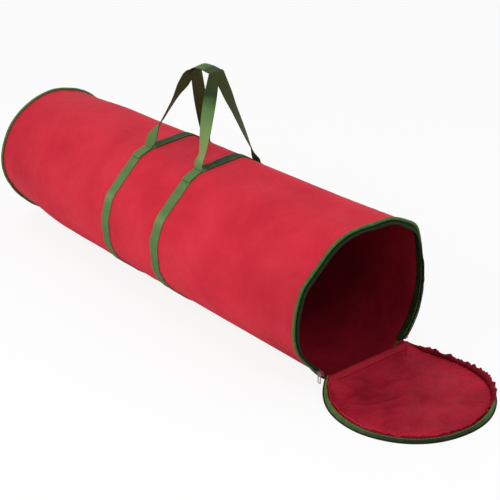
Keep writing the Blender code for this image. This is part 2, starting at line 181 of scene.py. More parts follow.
def add_node(tree: NodeTree, kind: str, settings: Optional[dict[str, Any]] = None,
             inputs: Optional[dict[Any, Any]] = None) -> bpy.types.Node:
    """Adds one node with its settings, input values and links.

    Args:
        tree: The node tree.
        kind: Blender's name of the node type.
        settings: Properties of the node itself.
        inputs: Values for its inputs by name or number. A value that is a socket is linked.

    Returns:
        The new node.
    """
    node = tree.nodes.new(kind)
    for name, value in (settings or {}).items():
        setattr(node, name, value)
    for key, value in (inputs or {}).items():
        if isinstance(value, bpy.types.NodeSocket):
            tree.links.new(value, node.inputs[key])
        else:
            node.inputs[key].default_value = value
    return node


def maths(tree: NodeTree, operation: str, *values: Any) -> Socket:
    """Adds one step of arithmetic and returns its result."""
    return add_node(tree, "ShaderNodeMath", {"operation": operation}, dict(enumerate(values))).outputs[0]


class Painter:
    """A material in the making, with the steps that the finishes share."""

    def __init__(self, name: str) -> None:
        """Starts a material of one name, with its Principled shader."""
        self.material = bpy.data.materials.new(name)
        self.material.use_nodes = True
        self.tree = self.material.node_tree
        self.shader = self.tree.nodes["Principled BSDF"]

    def place(self) -> Socket:
        """The piece's own coordinates."""
        return add_node(self.tree, "ShaderNodeTexCoord").outputs["Object"]

    def noise(self, scale: float, detail: float, **more: float) -> Socket:
        """Noise in the piece's own coordinates, with a scale per metre."""
        return add_node(self.tree, "ShaderNodeTexNoise",
                        inputs={"Vector": self.place(), "Scale": scale, "Detail": detail, **more}).outputs["Fac"]

    def spread(self, value: Socket, low: float = 0.0, high: float = 1.0, start: float = 0.0,
               end: float = 1.0) -> Socket:
        """Maps a value that goes from start to end to one that goes from low to high."""
        return add_node(self.tree, "ShaderNodeMapRange", inputs={
            "Value": value, "From Min": start, "From Max": end, "To Min": low, "To Max": high}).outputs["Result"]

    def cloth(self) -> tuple[Socket, Socket]:
        """Lengths along and across the piece, in millimetres."""
        flat = add_node(self.tree, "ShaderNodeUVMap", {"uv_map": "cloth"}).outputs["UV"]
        parts = add_node(self.tree, "ShaderNodeSeparateXYZ", inputs={"Vector": flat}).outputs
        return parts["X"], parts["Y"]

    def ribs(self, run: Socket, pitch_mm: float) -> Socket:
        """Height from 0 to 1 of round ribs along a length in millimetres."""
        wave = maths(self.tree, "SINE", maths(self.tree, "MULTIPLY", run, math.tau / pitch_mm))
        return self.spread(wave, start=-1.0)

    def ramp(self, share: Any, *stops: tuple[float, str]) -> Socket:
        """A colour from a ramp through hex colours at places from 0 to 1."""
        node = add_node(self.tree, "ShaderNodeValToRGB", inputs={"Fac": share})
        elements = node.color_ramp.elements
        while len(elements) < len(stops):
            elements.new(0.5)
        for element, (place, _) in zip(elements, stops):
            element.position = place
        for element, (_, code) in zip(elements, stops):
            element.color = linear(code)
        return node.outputs["Color"]

    def scaled(self, colour: Socket, share: Any) -> Socket:
        """A colour multiplied by a share."""
        return add_node(self.tree, "ShaderNodeVectorMath", {"operation": "SCALE"},
                        {0: colour, "Scale": share}).outputs["Vector"]

    def own_tone(self) -> Socket:
        """The tone that the piece stores at its own points, which carries painted shade and painted light."""
        return add_node(self.tree, "ShaderNodeAttribute", {"attribute_name": "tone"}).outputs["Fac"]

    def bump(self, height: Socket, strength: float, depth: float, **below: Socket) -> Socket:
        """The normal of a bump whose depth is in metres, over another normal where that is given."""
        return add_node(self.tree, "ShaderNodeBump", inputs={"Height": height, "Strength": strength,
                                                             "Distance": depth, **below}).outputs["Normal"]

    def finish(self, colour: Socket, normal: Socket, **values: float) -> Material:
        """Ends the material.

        Args:
            colour: Its base colour.
            normal: Its bumped normal.
            values: Inputs of the shader that are the same all over, named with _ for each space.

        Returns:
            The material.
        """
        self.tree.links.new(colour, self.shader.inputs["Base Color"])
        self.tree.links.new(normal, self.shader.inputs["Normal"])
        self.set(**values)
        return self.material

    def set(self, **values: Any) -> None:
        """Sets inputs of the shader that are the same all over, named with _ for each space."""
        for name, value in values.items():
            self.shader.inputs[name.replace("_", " ")].default_value = value


# Mesh helpers

def smooth(share: Any) -> Any:
    """Eases a share from 0 to 1 at both of its ends."""
    share = np.clip(share, 0, 1)
    return share * share * (3 - 2 * share)


def along_table(value: Any, table: Sequence[tuple[float, float]]) -> Array:
    """Looks a value up in a table of places and values, in straight lines between them."""
    places, values = zip(*table)
    return np.interp(value, places, values)


def eased_table(degrees: Any, table: Sequence[tuple[float, float]], blur: float = 5.0) -> Array:
    """Looks a value up by an angle in degrees, in a table whose corners are rounded."""
    steps = np.arange(-200, 201)
    kernel = np.exp(-(np.arange(-15, 16) / blur) ** 2 / 2)
    level = np.convolve(np.pad(along_table(steps, table), 15, "edge"), kernel / kernel.sum(), "valid")
    return np.interp(degrees, steps, level)


def lattice(rows: int, columns: int, closed_rows: bool) -> Array:
    """Corner numbers of the quads between rows of points, each row being a closed round.

    Args:
        rows: How many rows there are.
        columns: How many points each row has.
        closed_rows: Whether the last row joins the first.

    Returns:
        One line of four corner numbers for each quad.
    """
    row, column = np.meshgrid(np.arange(rows if closed_rows else rows - 1), np.arange(columns), indexing="ij")
    below, beside = (row + 1) % rows, (column + 1) % columns
    quads = np.stack([row * columns + column, row * columns + beside,
                      below * columns + beside, below * columns + column], -1)
    return quads.reshape(-1, 4)


def volume(points: Array, quads: Array) -> float:
    """Signed volume of a closed mesh of quads, negative where its faces point inwards."""
    corner = points[quads]
    first = np.einsum("ij,ij->i", corner[:, 0], np.cross(corner[:, 1], corner[:, 2]))
    second = np.einsum("ij,ij->i", corner[:, 0], np.cross(corner[:, 2], corner[:, 3]))
    return float((first.sum() + second.sum()) / 6)


def loft(name: str, rows: Array, closed: bool, along: Optional[Array] = None, across: Optional[Array] = None,
         tone: Optional[Array] = None) -> Object:
    """Builds a closed solid through rows of points, with an optional map in millimetres.

    Args:
        name: The piece's name.
        rows: Points as an array of rows, points in a row and the three coordinates.
        closed: Whether the last row joins the first, or both ends are capped.
        along: Length along the piece at each row, one more value than rows where it is closed.
        across: Length across the piece at each point of a row, with one more value for its return.
        tone: A share from 0 to 1 at each point that the finish takes its tone from.

    Returns:
        The new object.
    """
    count, width = rows.shape[:2]
    points = rows.reshape(-1, 3)
    quads = lattice(count, width, closed)
    flip = volume(points, quads) < 0
    faces = quads[:, ::-1] if flip else quads
    polygons = faces.tolist()
    if not closed:
        first, last = list(range(width)), list(range((count - 1) * width, count * width))
        polygons += [first if flip else first[::-1], last[::-1] if flip else last]
    mesh = bpy.data.meshes.new(name)
    mesh.from_pydata(points.tolist(), [], polygons)
    if along is not None:
        row, column = np.divmod(np.arange(len(quads)), width)
        u = np.stack([along[row], along[row], along[(row + 1) % len(along)], along[(row + 1) % len(along)]], 1) * 1000
        v = np.stack([across[column], across[column + 1], across[column + 1], across[column]], 1) * 1000
        if flip:
            u, v = u[:, ::-1], v[:, ::-1]
        flat = np.zeros((len(mesh.loops), 2), np.float32)
        flat[:u.size] = np.stack([u.reshape(-1), v.reshape(-1)], 1)
        mesh.uv_layers.new(name="cloth").data.foreach_set("uv", flat.reshape(-1))
    if tone is not None:
        layer = mesh.attributes.new("tone", "FLOAT", "POINT")
        layer.data.foreach_set("value", np.ascontiguousarray(tone, np.float32).reshape(-1))
    mesh.shade_smooth()
    return place_object(name, mesh)


def place_object(name: str, data: Any) -> Object:
    """Makes an object of a mesh, a lamp or a camera and puts it in the scene."""
    made = bpy.data.objects.new(name, data)
    bpy.context.scene.collection.objects.link(made)
    return made


def dress(piece: Object, *materials: Material) -> Object:
    """Gives a piece its materials."""
    piece.data.materials.clear()
    for material in materials:
        piece.data.materials.append(material)
    return piece


def settle(piece: Object, body: Body, slot: str, *nodes: str) -> None:
    """Fixes a finished piece to its body, in place of the nodes that it stands for."""
    if nodes:
        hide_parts(*nodes)
    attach(piece, body.value)


def lengths(places: Array) -> Array:
    """Length along a line of points, from its first point to each one."""
    steps = np.linalg.norm(np.diff(places, axis=0), axis=1)
    return np.concatenate([[0.0], np.cumsum(steps)])


def around(profile: Array) -> Array:
    """Length round a closed profile, with one more value for its return."""
    return lengths(np.concatenate([profile, profile[:1]]))


def full_round(points: int) -> Array:
    """Angles right round the bag, from under it to under it again."""
    return np.linspace(-math.pi, math.pi, points, endpoint=False)


def circle(radius: float, points: int) -> Array:
    """Points of a round cross section, as lines of two offsets from its middle."""
    turns = np.linspace(0, math.tau, points, endpoint=False)
    return radius * np.stack([np.cos(turns), np.sin(turns)], 1)


# The cross section of the cord inside each coil.
CORD = circle(SIZES.coil_radius * 0.65, 8)


def webbing_profile(width: float, thickness: float, steps: int = 9) -> Array:
    """Closed outline of webbing's cross section, with rounded edges.

    Args:
        width: Its whole width.
        thickness: Its whole thickness.
        steps: How many points its upper face has.

    Returns:
        Lines of a place across and a height.
    """
    edge = thickness / 2
    side = np.linspace(-width / 2 + edge * 0.5, width / 2 - edge * 0.5, steps)
    top = np.stack([side, np.full(steps, edge)], 1)
    return np.concatenate([top, [[width / 2, 0.0]], top[::-1] * [1, -1], [[-width / 2, 0.0]]])


def thicken(middle: Array, half: float) -> Array:
    """Gives a sheet of points its thickness.

    Args:
        middle: Points as an array of lines, points in a line and the three coordinates.
        half: Half of the thickness.

    Returns:
        The rows of a closed solid, each of which goes round the sheet at one point of its lines.
    """
    normal = np.cross(np.gradient(middle, axis=1), np.gradient(middle, axis=0))
    normal /= np.linalg.norm(normal, axis=-1, keepdims=True)
    return np.concatenate([middle + normal * half, (middle - normal * half)[::-1]]).transpose(1, 0, 2)


def grains(x: Array, y: Array, z: float) -> Array:
    """Smooth noise at each pair of coordinates."""
    x, y = np.broadcast_arrays(x, y)
    flat = [noise.noise(Vector((a, b, z))) for a, b in zip(x.reshape(-1).tolist(), y.reshape(-1).tolist())]
    return np.array(flat).reshape(x.shape)


# The shape of the bag

@dataclass(frozen=True)
class Creases:
    """One set of soft narrow valleys that run one way over the unrolled cloth.

    The way is in degrees from the bag's axis. The valleys have a length, a distance from one to the next and a
    share of the depth, and the seed tells one set from another.
    """

    way: float
    long: float
    wide: float
    seed: float
    share: float

    def depth(self, x: Array, run: Array) -> Array:
        """A depth from -1 to 0 at places along the bag and round it."""
        cos, sin = math.cos(math.radians(self.way)), math.sin(math.radians(self.way))
        level = grains((x * cos + run * sin) / self.long, (run * cos - x * sin) / self.wide, self.seed)
        return -np.clip(1 - np.abs(level) * 4.5, 0, 1) ** 2 * self.share


@dataclass
class BagShape:
    """The skin of the bag: nearly round at the closed end, with the flats and corners of a filled bag at the mouth.

    Each section is a place along the bag with a list of stations: an angle in degrees, how far in millimetres
    the cloth stands outside a round section there, and a third value of 1 where it runs flat to the next one.
    """

    sizes: Sizes = SIZES
    sections: dict[float, tuple[tuple[float, ...], ...]] = field(default_factory=lambda: {
        -0.508: ((-180, -9), (-140, -10), (-100, -6), (-44, -4.5), (-27, -6.3), (-14, -8.5), (2, -7.5), (14, -8.5),
                 (31, -8), (43, -6.5), (54, -4.8), (70, -4.3), (84, -2.5), (94, -2.5), (104, -5), (114, -8.5),
                 (124, -11), (135, -13), (150, -12)),
        -0.300: ((-180, 0), (-150, 0), (-100, 2), (-60, 1), (-17, 1), (2, -4), (20, -1), (30, 0, 1), (68, 5),
                 (100, 6.5), (116, 6), (126, 3), (135, 0), (150, 0)),
        -0.056: ((-180, 0), (-150, 0), (-125, 2), (-95, 7), (-68, 4), (-50, 0), (-36, 0), (-26, 1.5), (-17, 2.5, 1),
                 (20, -3), (33, 0, 1), (69, 10, 1), (86, 13, 1), (104, 13.5), (116, 11), (124, 7), (133, 1),
                 (150, 0)),
        0.109: ((-180, 0), (-150, 0), (-125, 2), (-95, 7), (-68, 4), (-50, 0), (-36, 0), (-26, 1.5), (-17, 2, 1),
                (20, -4), (33, -3, 1), (68, 7, 1), (84, 12, 1), (103, 12.5), (115, 10), (124, 6), (133, 1),
                (150, 0)),
        0.508: ((-180, 0), (-150, 0), (-138, 0), (-131, 0), (-124, -1), (-112, -3), (-100, -5), (-86, -6),
                (-70, -2), (-58, 5), (-50, 11), (-45, 9), (-40, 4.8), (-32, 1.2), (-24, -2), (-18, -6.5),
                (-11, -11.3), (-4, -13.8), (5, -12.8), (15, -9.8), (25, -7), (36, -6, 1), (64, 5), (72, 6.5),
                (82, 8.2), (90, 9), (101, 10.5), (109, 9), (118, 4), (125, 0.5), (131, 0), (138, 0), (150, 0)),
    })
    blur: float = 1.9
    creases: tuple[Creases, ...] = (Creases(38, 0.17, 0.026, 1.3, 1.0), Creases(-52, 0.13, 0.030, 7.7, 0.7))
    crease: float = 0.0010
    crumple: float = 0.0011
    gather_start: float = 0.004
    gather_reach: float = 0.020

    def __post_init__(self) -> None:
        """Works out one smooth round of offsets for each section."""
        self._degrees = np.arange(-180, 180)
        self._places = sorted(self.sections)
        step = np.arange(-12, 13)
        kernel = np.exp(-(step / self.blur) ** 2 / 2)
        kernel /= kernel.sum()
        rounds = [self._offsets(self.sections[place]) for place in self._places]
        self._rounds = np.array([np.convolve(np.concatenate([table[-12:], table, table[:12]]), kernel, "valid")
                                 for table in rounds]) / 1000

    def _offsets(self, stations: Sequence[tuple[float, ...]]) -> Array:
        """One offset for each degree of a section, in millimetres."""
        radius = self.sizes.radius * 1000
        table = np.zeros(360)
        for start, end in zip(stations, [*stations[1:], (180, stations[0][1])]):
            inside = (self._degrees >= start[0]) & (self._degrees < end[0])
            span, turn = math.radians(end[0] - start[0]), np.radians(self._degrees[inside] - start[0])
            first, last = radius + start[1], radius + end[1]
            if len(start) > 2:
                flat = first * last * math.sin(span) / (first * np.sin(turn) + last * np.sin(span - turn))
                table[inside] = flat - radius
            else:
                table[inside] = start[1] + (end[1] - start[1]) * turn / span
        return table

    def squash(self, x: Any, angle: Any) -> Array:
        """How far the section at x stands outside a round one, at an angle."""
        x, angle = np.broadcast_arrays(np.asarray(x, float), angle)
        degrees = (np.degrees(angle) + 180) % 360
        low = np.floor(degrees).astype(int) % 360
        part = degrees - np.floor(degrees)
        total = np.zeros(x.shape)
        for index in range(len(self._places)):
            offsets = self._rounds[index][low] * (1 - part) + self._rounds[index][(low + 1) % 360] * part
            total = total + offsets * self._weight(x, index)
        return total

    def _weight(self, x: Array, index: int) -> Array:
        """Share of one section in the shape at x."""
        places = self._places
        weight = np.ones(np.shape(x))
        if index:
            weight = weight * smooth((x - places[index - 1]) / (places[index] - places[index - 1]))
        if index + 1 < len(places):
            weight = weight * (1 - smooth((x - places[index]) / (places[index + 1] - places[index])))
        return weight

    def relief(self, x: Array, angle: Array) -> Array:
        """Height of the cloth's soft creases, gathers and crumples."""
        run = self.sizes.radius * angle
        height = sum(creases.depth(x, run) for creases in self.creases)
        height = height * smooth(grains(x * 5.5, run * 7, 3.1) * 2.2 + 0.45) * self.crease
        return height + self._gathers(x, angle) + grains(x * 9, run * 9, 5.5) * self.crumple

    def _gathers(self, x: Array, angle: Array) -> Array:
        """Small puckers beside the seams, which are square to them and fade away from them."""
        s = self.sizes
        half = s.webbing_width / 2 + 0.001
        total = np.zeros(np.broadcast(x, angle).shape)
        for place, edge, depth, seed in ((s.rear_x, 0.005, 0.0018, 0.3), (s.rear_band_x, half, 0.0010, 2.3),
                                         (s.front_band_x, half, 0.0010, 4.3), (s.mouth_x, 0.004, 0.0009, 6.3)):
            away = np.clip(np.abs(x - place) - edge, 0, None)
            fade = (1 - np.exp(-away / self.gather_start)) * np.exp(-away / self.gather_reach)
            total = total + grains(angle * 8.5, x * 3, seed) * fade * depth * 1.6
        return total

    def point(self, x: Any, angle: Any, grow: Any, floor: Any = 0.0) -> Array:
        """Where the bag's skin, grown by a margin, lies.

        Args:
            x: Places along the bag.
            angle: Angles from its top towards the nearer side.
            grow: How far outside the skin the point lies.
            floor: How far what is sewn on under the bag lifts it off the floor there.

        Returns:
            Points, with the shape of the arguments and one more axis.
        """
        x, angle, grow, floor = np.broadcast_arrays(np.asarray(x, float), angle, grow, floor)
        offset = self.squash(x, angle) + self.relief(x, angle) * self._standing(angle)
        reach = self.sizes.radius + grow + offset
        height = self.sizes.centre + reach * np.cos(angle)
        flat = floor - grow
        blend = self.sizes.press_blend
        corner = np.clip(blend - np.abs(height - flat), 0, None) / blend
        height = np.maximum(height, flat) + corner ** 2 * blend / 4
        return np.stack([x, -reach * np.sin(angle), np.maximum(height, 0.0)], -1)

    @staticmethod
    def _standing(angle: Array) -> Array:
        """Fades the relief out where the floor presses the cloth flat."""
        return 1 - smooth((-np.cos(angle) - 0.62) / 0.16)

    def lifts(self, x: Array) -> Array:
        """How far the binding and the bands lift the cloth under the bag, at each x."""
        s = self.sizes
        pressed = s.fabric + s.gap
        margin = s.webbing_width / 2 + 0.001
        places, lift = [s.rear_x, s.rear_x + 0.0048, s.rear_x + 0.0168], [pressed, pressed, 0.0]
        for centre in (s.rear_band_x, s.front_band_x):
            places += [centre - margin - s.press_ramp, centre - margin, centre + margin,
                       centre + margin + s.press_ramp]
            lift += [0.0, pressed, pressed, 0.0]
        return np.interp(x, places, lift)


SHAPE = BagShape()


# Finishes

@dataclass(frozen=True)
class NonWovenCloth:
    """Spun-bonded polypropylene cloth, rolled hot.

    The eye sees a deep even colour with a soft satin face, faint bonded dimples and sharp little crease lines.
    """

    name: str
    face: str
    shade: str
    glow: str
    roughness: float = 0.55
    specular: float = 0.07
    crease_mm: float = 46.0
    crease_depth_mm: float = 1.2
    # The bonded dimples are about 1 mm apart, drawn at 2.6 mm so that they show.
    dimple_mm: float = 2.6
    dimple_depth: float = 0.0004
    clouds_per_m: float = 8.0
    fibres_per_m: float = 600.0
    # Whether the colour is scaled by the piece's tone, which paints shade and light: the gathers' own shadow, shade
    # low on the wall beside the mouth and light on the lid's pleats.
    toned: bool = False

    def material(self) -> Material:
        """Builds the material."""
        p = Painter(self.name)
        clouds = p.noise(self.clouds_per_m, 5.0, Roughness=0.6)
        colour = p.scaled(p.ramp(clouds, (0.32, self.shade), (0.5, self.face), (0.68, self.glow)),
                          p.spread(p.noise(self.fibres_per_m, 2.0), 0.93, 1.07))
        if self.toned:
            colour = p.scaled(colour, p.own_tone())
        folds = p.noise(1000 / self.crease_mm, 3.0, Roughness=0.5, Distortion=0.8)
        valley = p.spread(maths(p.tree, "ABSOLUTE", maths(p.tree, "SUBTRACT", folds, 0.5)), end=0.09)
        dimples = add_node(p.tree, "ShaderNodeTexVoronoi",
                           inputs={"Vector": p.place(), "Scale": 1000 / self.dimple_mm, "Randomness": 0.4})
        normal = p.bump(dimples.outputs["Distance"], 0.3, self.dimple_depth,
                        Normal=p.bump(valley, 0.35, self.crease_depth_mm / 1000))
        return p.finish(colour, normal, Roughness=self.roughness, Specular_IOR_Level=self.specular)


@dataclass(frozen=True)
class Webbing:
    """Woven polypropylene webbing in a herringbone.

    The eye sees fine slanting ribs that turn back every few millimetres, with painted shade in the gaps between them,
    and a duller and darker back. Along the webbing its tone paints shade and light: the back colour also serves as
    painted shade, and the palest colour is painted light, as in the painted highlight where a band bends over a
    corner.
    """

    name: str
    back: str
    shadow: str
    face: str
    painted_light: str
    # The yarns are about 1.2 mm apart, drawn at 2.0 mm so that they show.
    rib_mm: float = 2.0
    turn_mm: float = 5.0
    rib_depth: float = 0.0005
    roughness: float = 0.6
    specular: float = 0.12

    def material(self) -> Material:
        """Builds the material."""
        p = Painter(self.name)
        along, across = p.cloth()
        height = p.ribs(maths(p.tree, "ADD", along, maths(p.tree, "PINGPONG", across, self.turn_mm / 2)), self.rib_mm)
        # Random unevenness plus the piece's tone, which is painted shade and painted light.
        noise_and_painted_light = maths(p.tree, "MULTIPLY_ADD", p.noise(60.0, 3.0), 0.16, maths(p.tree, "SUBTRACT", p.own_tone(), 0.08))
        # The darkest colour serves the back and painted shade, the palest is painted light, and the gaps between the
        # ribs are painted darker as shade.
        colour = p.scaled(p.ramp(noise_and_painted_light, (0.02, self.back), (0.25, self.shadow), (0.5, self.face), (1.0, self.painted_light)),
                          p.spread(height, 0.72, 1.08))
        return p.finish(colour, p.bump(height, 0.45, self.rib_depth), Roughness=self.roughness,
                        Specular_IOR_Level=self.specular)


@dataclass(frozen=True)
class RibbedTape:
    """Grosgrain tape: ribs that run across it, close together.

    The eye sees a dull narrow ribbon with a fine ladder of shadows.
    """

    name: str
    face: str
    shade: str
    # The ribs are about 0.6 mm apart, drawn at 1.6 mm so that they show.
    rib_mm: float = 1.6
    rib_depth: float = 0.0003
    roughness: float = 0.65
    specular: float = 0.12
    # Whether the colour is scaled by the piece's tone, painted shade where a tape runs from light into shadow.
    toned: bool = False

    def material(self) -> Material:
        """Builds the material."""
        p = Painter(self.name)
        height = p.ribs(p.cloth()[0], self.rib_mm)
        share = maths(p.tree, "MULTIPLY_ADD", p.noise(90.0, 3.0), 0.7, maths(p.tree, "MULTIPLY", height, 0.3))
        colour = p.ramp(share, (0.3, self.shade), (0.75, self.face))
        if self.toned:
            colour = p.scaled(colour, p.own_tone())
        return p.finish(colour, p.bump(height, 0.4, self.rib_depth), Roughness=self.roughness,
                        Specular_IOR_Level=self.specular)


@dataclass(frozen=True)
class PlainFinish:
    """A small hard or soft part of one stuff: nickel plate, nylon or sewing thread.

    The eye sees its colour, a little uneven, and how sharp its highlights are.
    """

    name: str
    face: str
    shade: str
    roughness: float
    metallic: float = 0.0
    grain_mm: float = 0.8
    grain_depth: float = 0.0002
    specular: float = 0.5

    def material(self) -> Material:
        """Builds the material."""
        p = Painter(self.name)
        grain = p.noise(1000 / self.grain_mm, 3.0)
        return p.finish(p.ramp(grain, (0.35, self.shade), (0.65, self.face)), p.bump(grain, 0.12, self.grain_depth),
                        Roughness=self.roughness, Metallic=self.metallic, Specular_IOR_Level=self.specular)


# Thread and coils that follow the seams

class PathTool:
    """Geometry Nodes that set a small shape along every line of a mesh of lines."""

    def __init__(self, name: str, sizes: dict[str, float]) -> None:
        """Starts the tree.

        Args:
            name: The tree's name.
            sizes: Its named inputs with their usual values. The first is the distance from shape to shape.
        """
        self.tree = bpy.data.node_groups.new(name, "GeometryNodeTree")
        face = self.tree.interface
        face.new_socket("Lines", in_out="INPUT", socket_type="NodeSocketGeometry")
        self.sockets = {}
        for title, value in sizes.items():
            socket = face.new_socket(title, in_out="INPUT", socket_type="NodeSocketFloat")
            socket.default_value = value
            self.sockets[title] = socket.identifier
        face.new_socket("Shapes", in_out="OUTPUT", socket_type="NodeSocketGeometry")
        self.given = add_node(self.tree, "NodeGroupInput").outputs
        curve = add_node(self.tree, "GeometryNodeMeshToCurve", inputs={"Mesh": self.given["Lines"]})
        self.path = add_node(self.tree, "GeometryNodeResampleCurve", {"mode": "LENGTH"},
                             {"Curve": curve.outputs[0], "Length": self.given[next(iter(sizes))]}).outputs[0]

    def finish(self, shape: bpy.types.NodeSocket, finish: Material) -> None:
        """Sets the shape on every point of the path, along it, and ends the tree.

        Args:
            shape: The geometry to repeat, drawn along the X axis.
            finish: What it is made of.
        """
        tangent = add_node(self.tree, "GeometryNodeInputTangent").outputs[0]
        turn = add_node(self.tree, "FunctionNodeAlignRotationToVector", {"axis": "X"}, {"Vector": tangent})
        spread = add_node(self.tree, "GeometryNodeInstanceOnPoints",
                          inputs={"Points": self.path, "Instance": shape, "Rotation": turn.outputs[0]})
        real = add_node(self.tree, "GeometryNodeRealizeInstances", inputs={"Geometry": spread.outputs[0]})
        even = add_node(self.tree, "GeometryNodeSetShadeSmooth", inputs={"Geometry": real.outputs[0]})
        made = add_node(self.tree, "GeometryNodeSetMaterial",
                        inputs={"Geometry": even.outputs[0], "Material": finish})
        add_node(self.tree, "NodeGroupOutput", inputs={"Shapes": made.outputs[0]})

    def run(self, name: str, lines: Sequence[Array], **sizes: float) -> Object:
        """Makes a plain mesh of the shapes along some lines.

        Args:
            name: The piece's name.
            lines: Open lines of points.
            sizes: Inputs that differ from their usual values, named with _ for each space.

        Returns:
            The new object.
        """
        points = np.concatenate(lines)
        ends = np.cumsum([len(line) for line in lines])
        edges = [(place, place + 1) for start, end in zip([0, *ends], ends) for place in range(start, end - 1)]
        mesh = bpy.data.meshes.new(name + "_lines")
        mesh.from_pydata(points.tolist(), edges, [])
        guide = place_object(name + "_lines", mesh)
        modifier = guide.modifiers.new("shapes", "NODES")
        modifier.node_group = self.tree
        for title, value in sizes.items():
            modifier[self.sockets[title.replace("_", " ")]] = value
        ready = guide.evaluated_get(bpy.context.evaluated_depsgraph_get())
        made = bpy.data.meshes.new_from_object(ready)
        bpy.data.objects.remove(guide)
        made.name = name
        return place_object(name, made)


class StitchTool(PathTool):
    """Lockstitches: short rounded lengths of thread with a little gap between them."""

    def __init__(self, name: str, finish: Material) -> None:
        """Builds the tree for one thread."""
        super().__init__(name, {"Pitch": 0.0042, "Stitch length": 0.0033, "Thread radius": 0.00045})
        half = maths(self.tree, "MULTIPLY", self.given["Stitch length"], 0.5)
        size = add_node(self.tree, "ShaderNodeCombineXYZ",
                        inputs={"X": half, "Y": self.given["Thread radius"], "Z": self.given["Thread radius"]})
        ball = add_node(self.tree, "GeometryNodeMeshUVSphere", inputs={"Segments": 6, "Rings": 5, "Radius": 1.0})
        grain = add_node(self.tree, "GeometryNodeTransform",
                         inputs={"Geometry": ball.outputs["Mesh"], "Scale": size.outputs[0]})
        self.finish(grain.outputs[0], finish)


class CoilTool(PathTool):
    """A wound zip coil: leaning turns of nylon thread."""

    def __init__(self, finish: Material) -> None:
        """Builds the tree."""
        super().__init__("zip_coil_turns", {"Pitch": 0.0020, "Coil radius": 0.00095, "Thread radius": 0.00042})
        turn = add_node(self.tree, "GeometryNodeCurvePrimitiveCircle",
                        inputs={"Resolution": 9, "Radius": self.given["Coil radius"]})
        thread = add_node(self.tree, "GeometryNodeCurvePrimitiveCircle",
                          inputs={"Resolution": 5, "Radius": self.given["Thread radius"]})
        ring = add_node(self.tree, "GeometryNodeCurveToMesh",
                        inputs={"Curve": turn.outputs[0], "Profile Curve": thread.outputs[0]})
        lean = add_node(self.tree, "GeometryNodeTransform",
                        inputs={"Geometry": ring.outputs[0], "Rotation": (0.0, math.radians(90), math.radians(20))})
        self.finish(lean.outputs[0], finish)


# The pieces of the bag

class Palette:
    """The finishes of the whole bag and the tools for its thread and coils, each built once."""

    def __init__(self) -> None:
        """Builds the materials and the tools."""
        self.red_cloth = NonWovenCloth("red_non_woven", "#CB2E3E", "#C02738", "#D33545", specular=0.03,
                                      toned=True).material()
        self.lining = NonWovenCloth("lining_non_woven", "#841324", "#740D1E", "#94192B", 0.7, 0.05).material()
        self.lid_cloth = NonWovenCloth("lid_non_woven", "#98172A", "#7F0F21", "#AE2036", 0.6, 0.08,
                                      toned=True).material()
        self.gathers = NonWovenCloth("gathered_non_woven", "#BE2238", "#A81A2E", "#CC2A41", 0.6, 0.06,
                                     toned=True).material()
        # Webbing colours in order: the back, which also serves as painted shade; painted shadow; the face; painted
        # light.
        self.webbing = Webbing("woven_webbing", "#424826", "#283F20", "#5C8049", "#8CA062").material()
        self.binding = RibbedTape("grosgrain_binding", "#5E7F49", "#3C5E33").material()
        self.piping = RibbedTape("bias_tape_piping", "#537640", "#35562A", rib_mm=2.4).material()
        # Painted shade: the mouth's half of the tape is coloured much darker than the lid's half of the same tape, for
        # the shade inside the mouth.
        self.zip_tape = RibbedTape("knitted_zip_tape_in_painted_shade", "#243619", "#131E0E", specular=0.06).material()
        self.lid_tape = RibbedTape("knitted_lid_tape", "#5A7040", "#35491F", toned=True).material()
        self.coil = PlainFinish("nylon_coil", "#1A2716", "#0E150B", 0.55, specular=0.15).material()
        self.coil_tool = CoilTool(self.coil)
        self.nickel = PlainFinish("nickel_plate", "#D0CDC8", "#B4B1AC", 0.28, metallic=1.0).material()
        self.green_tool = StitchTool("green_stitches", PlainFinish(
            "green_polyester_thread", "#7D9E68", "#5C8049", 0.6).material())
        self.red_tool = StitchTool("red_stitches", PlainFinish(
            "red_polyester_thread", "#B4263A", "#94182B", 0.6).material())


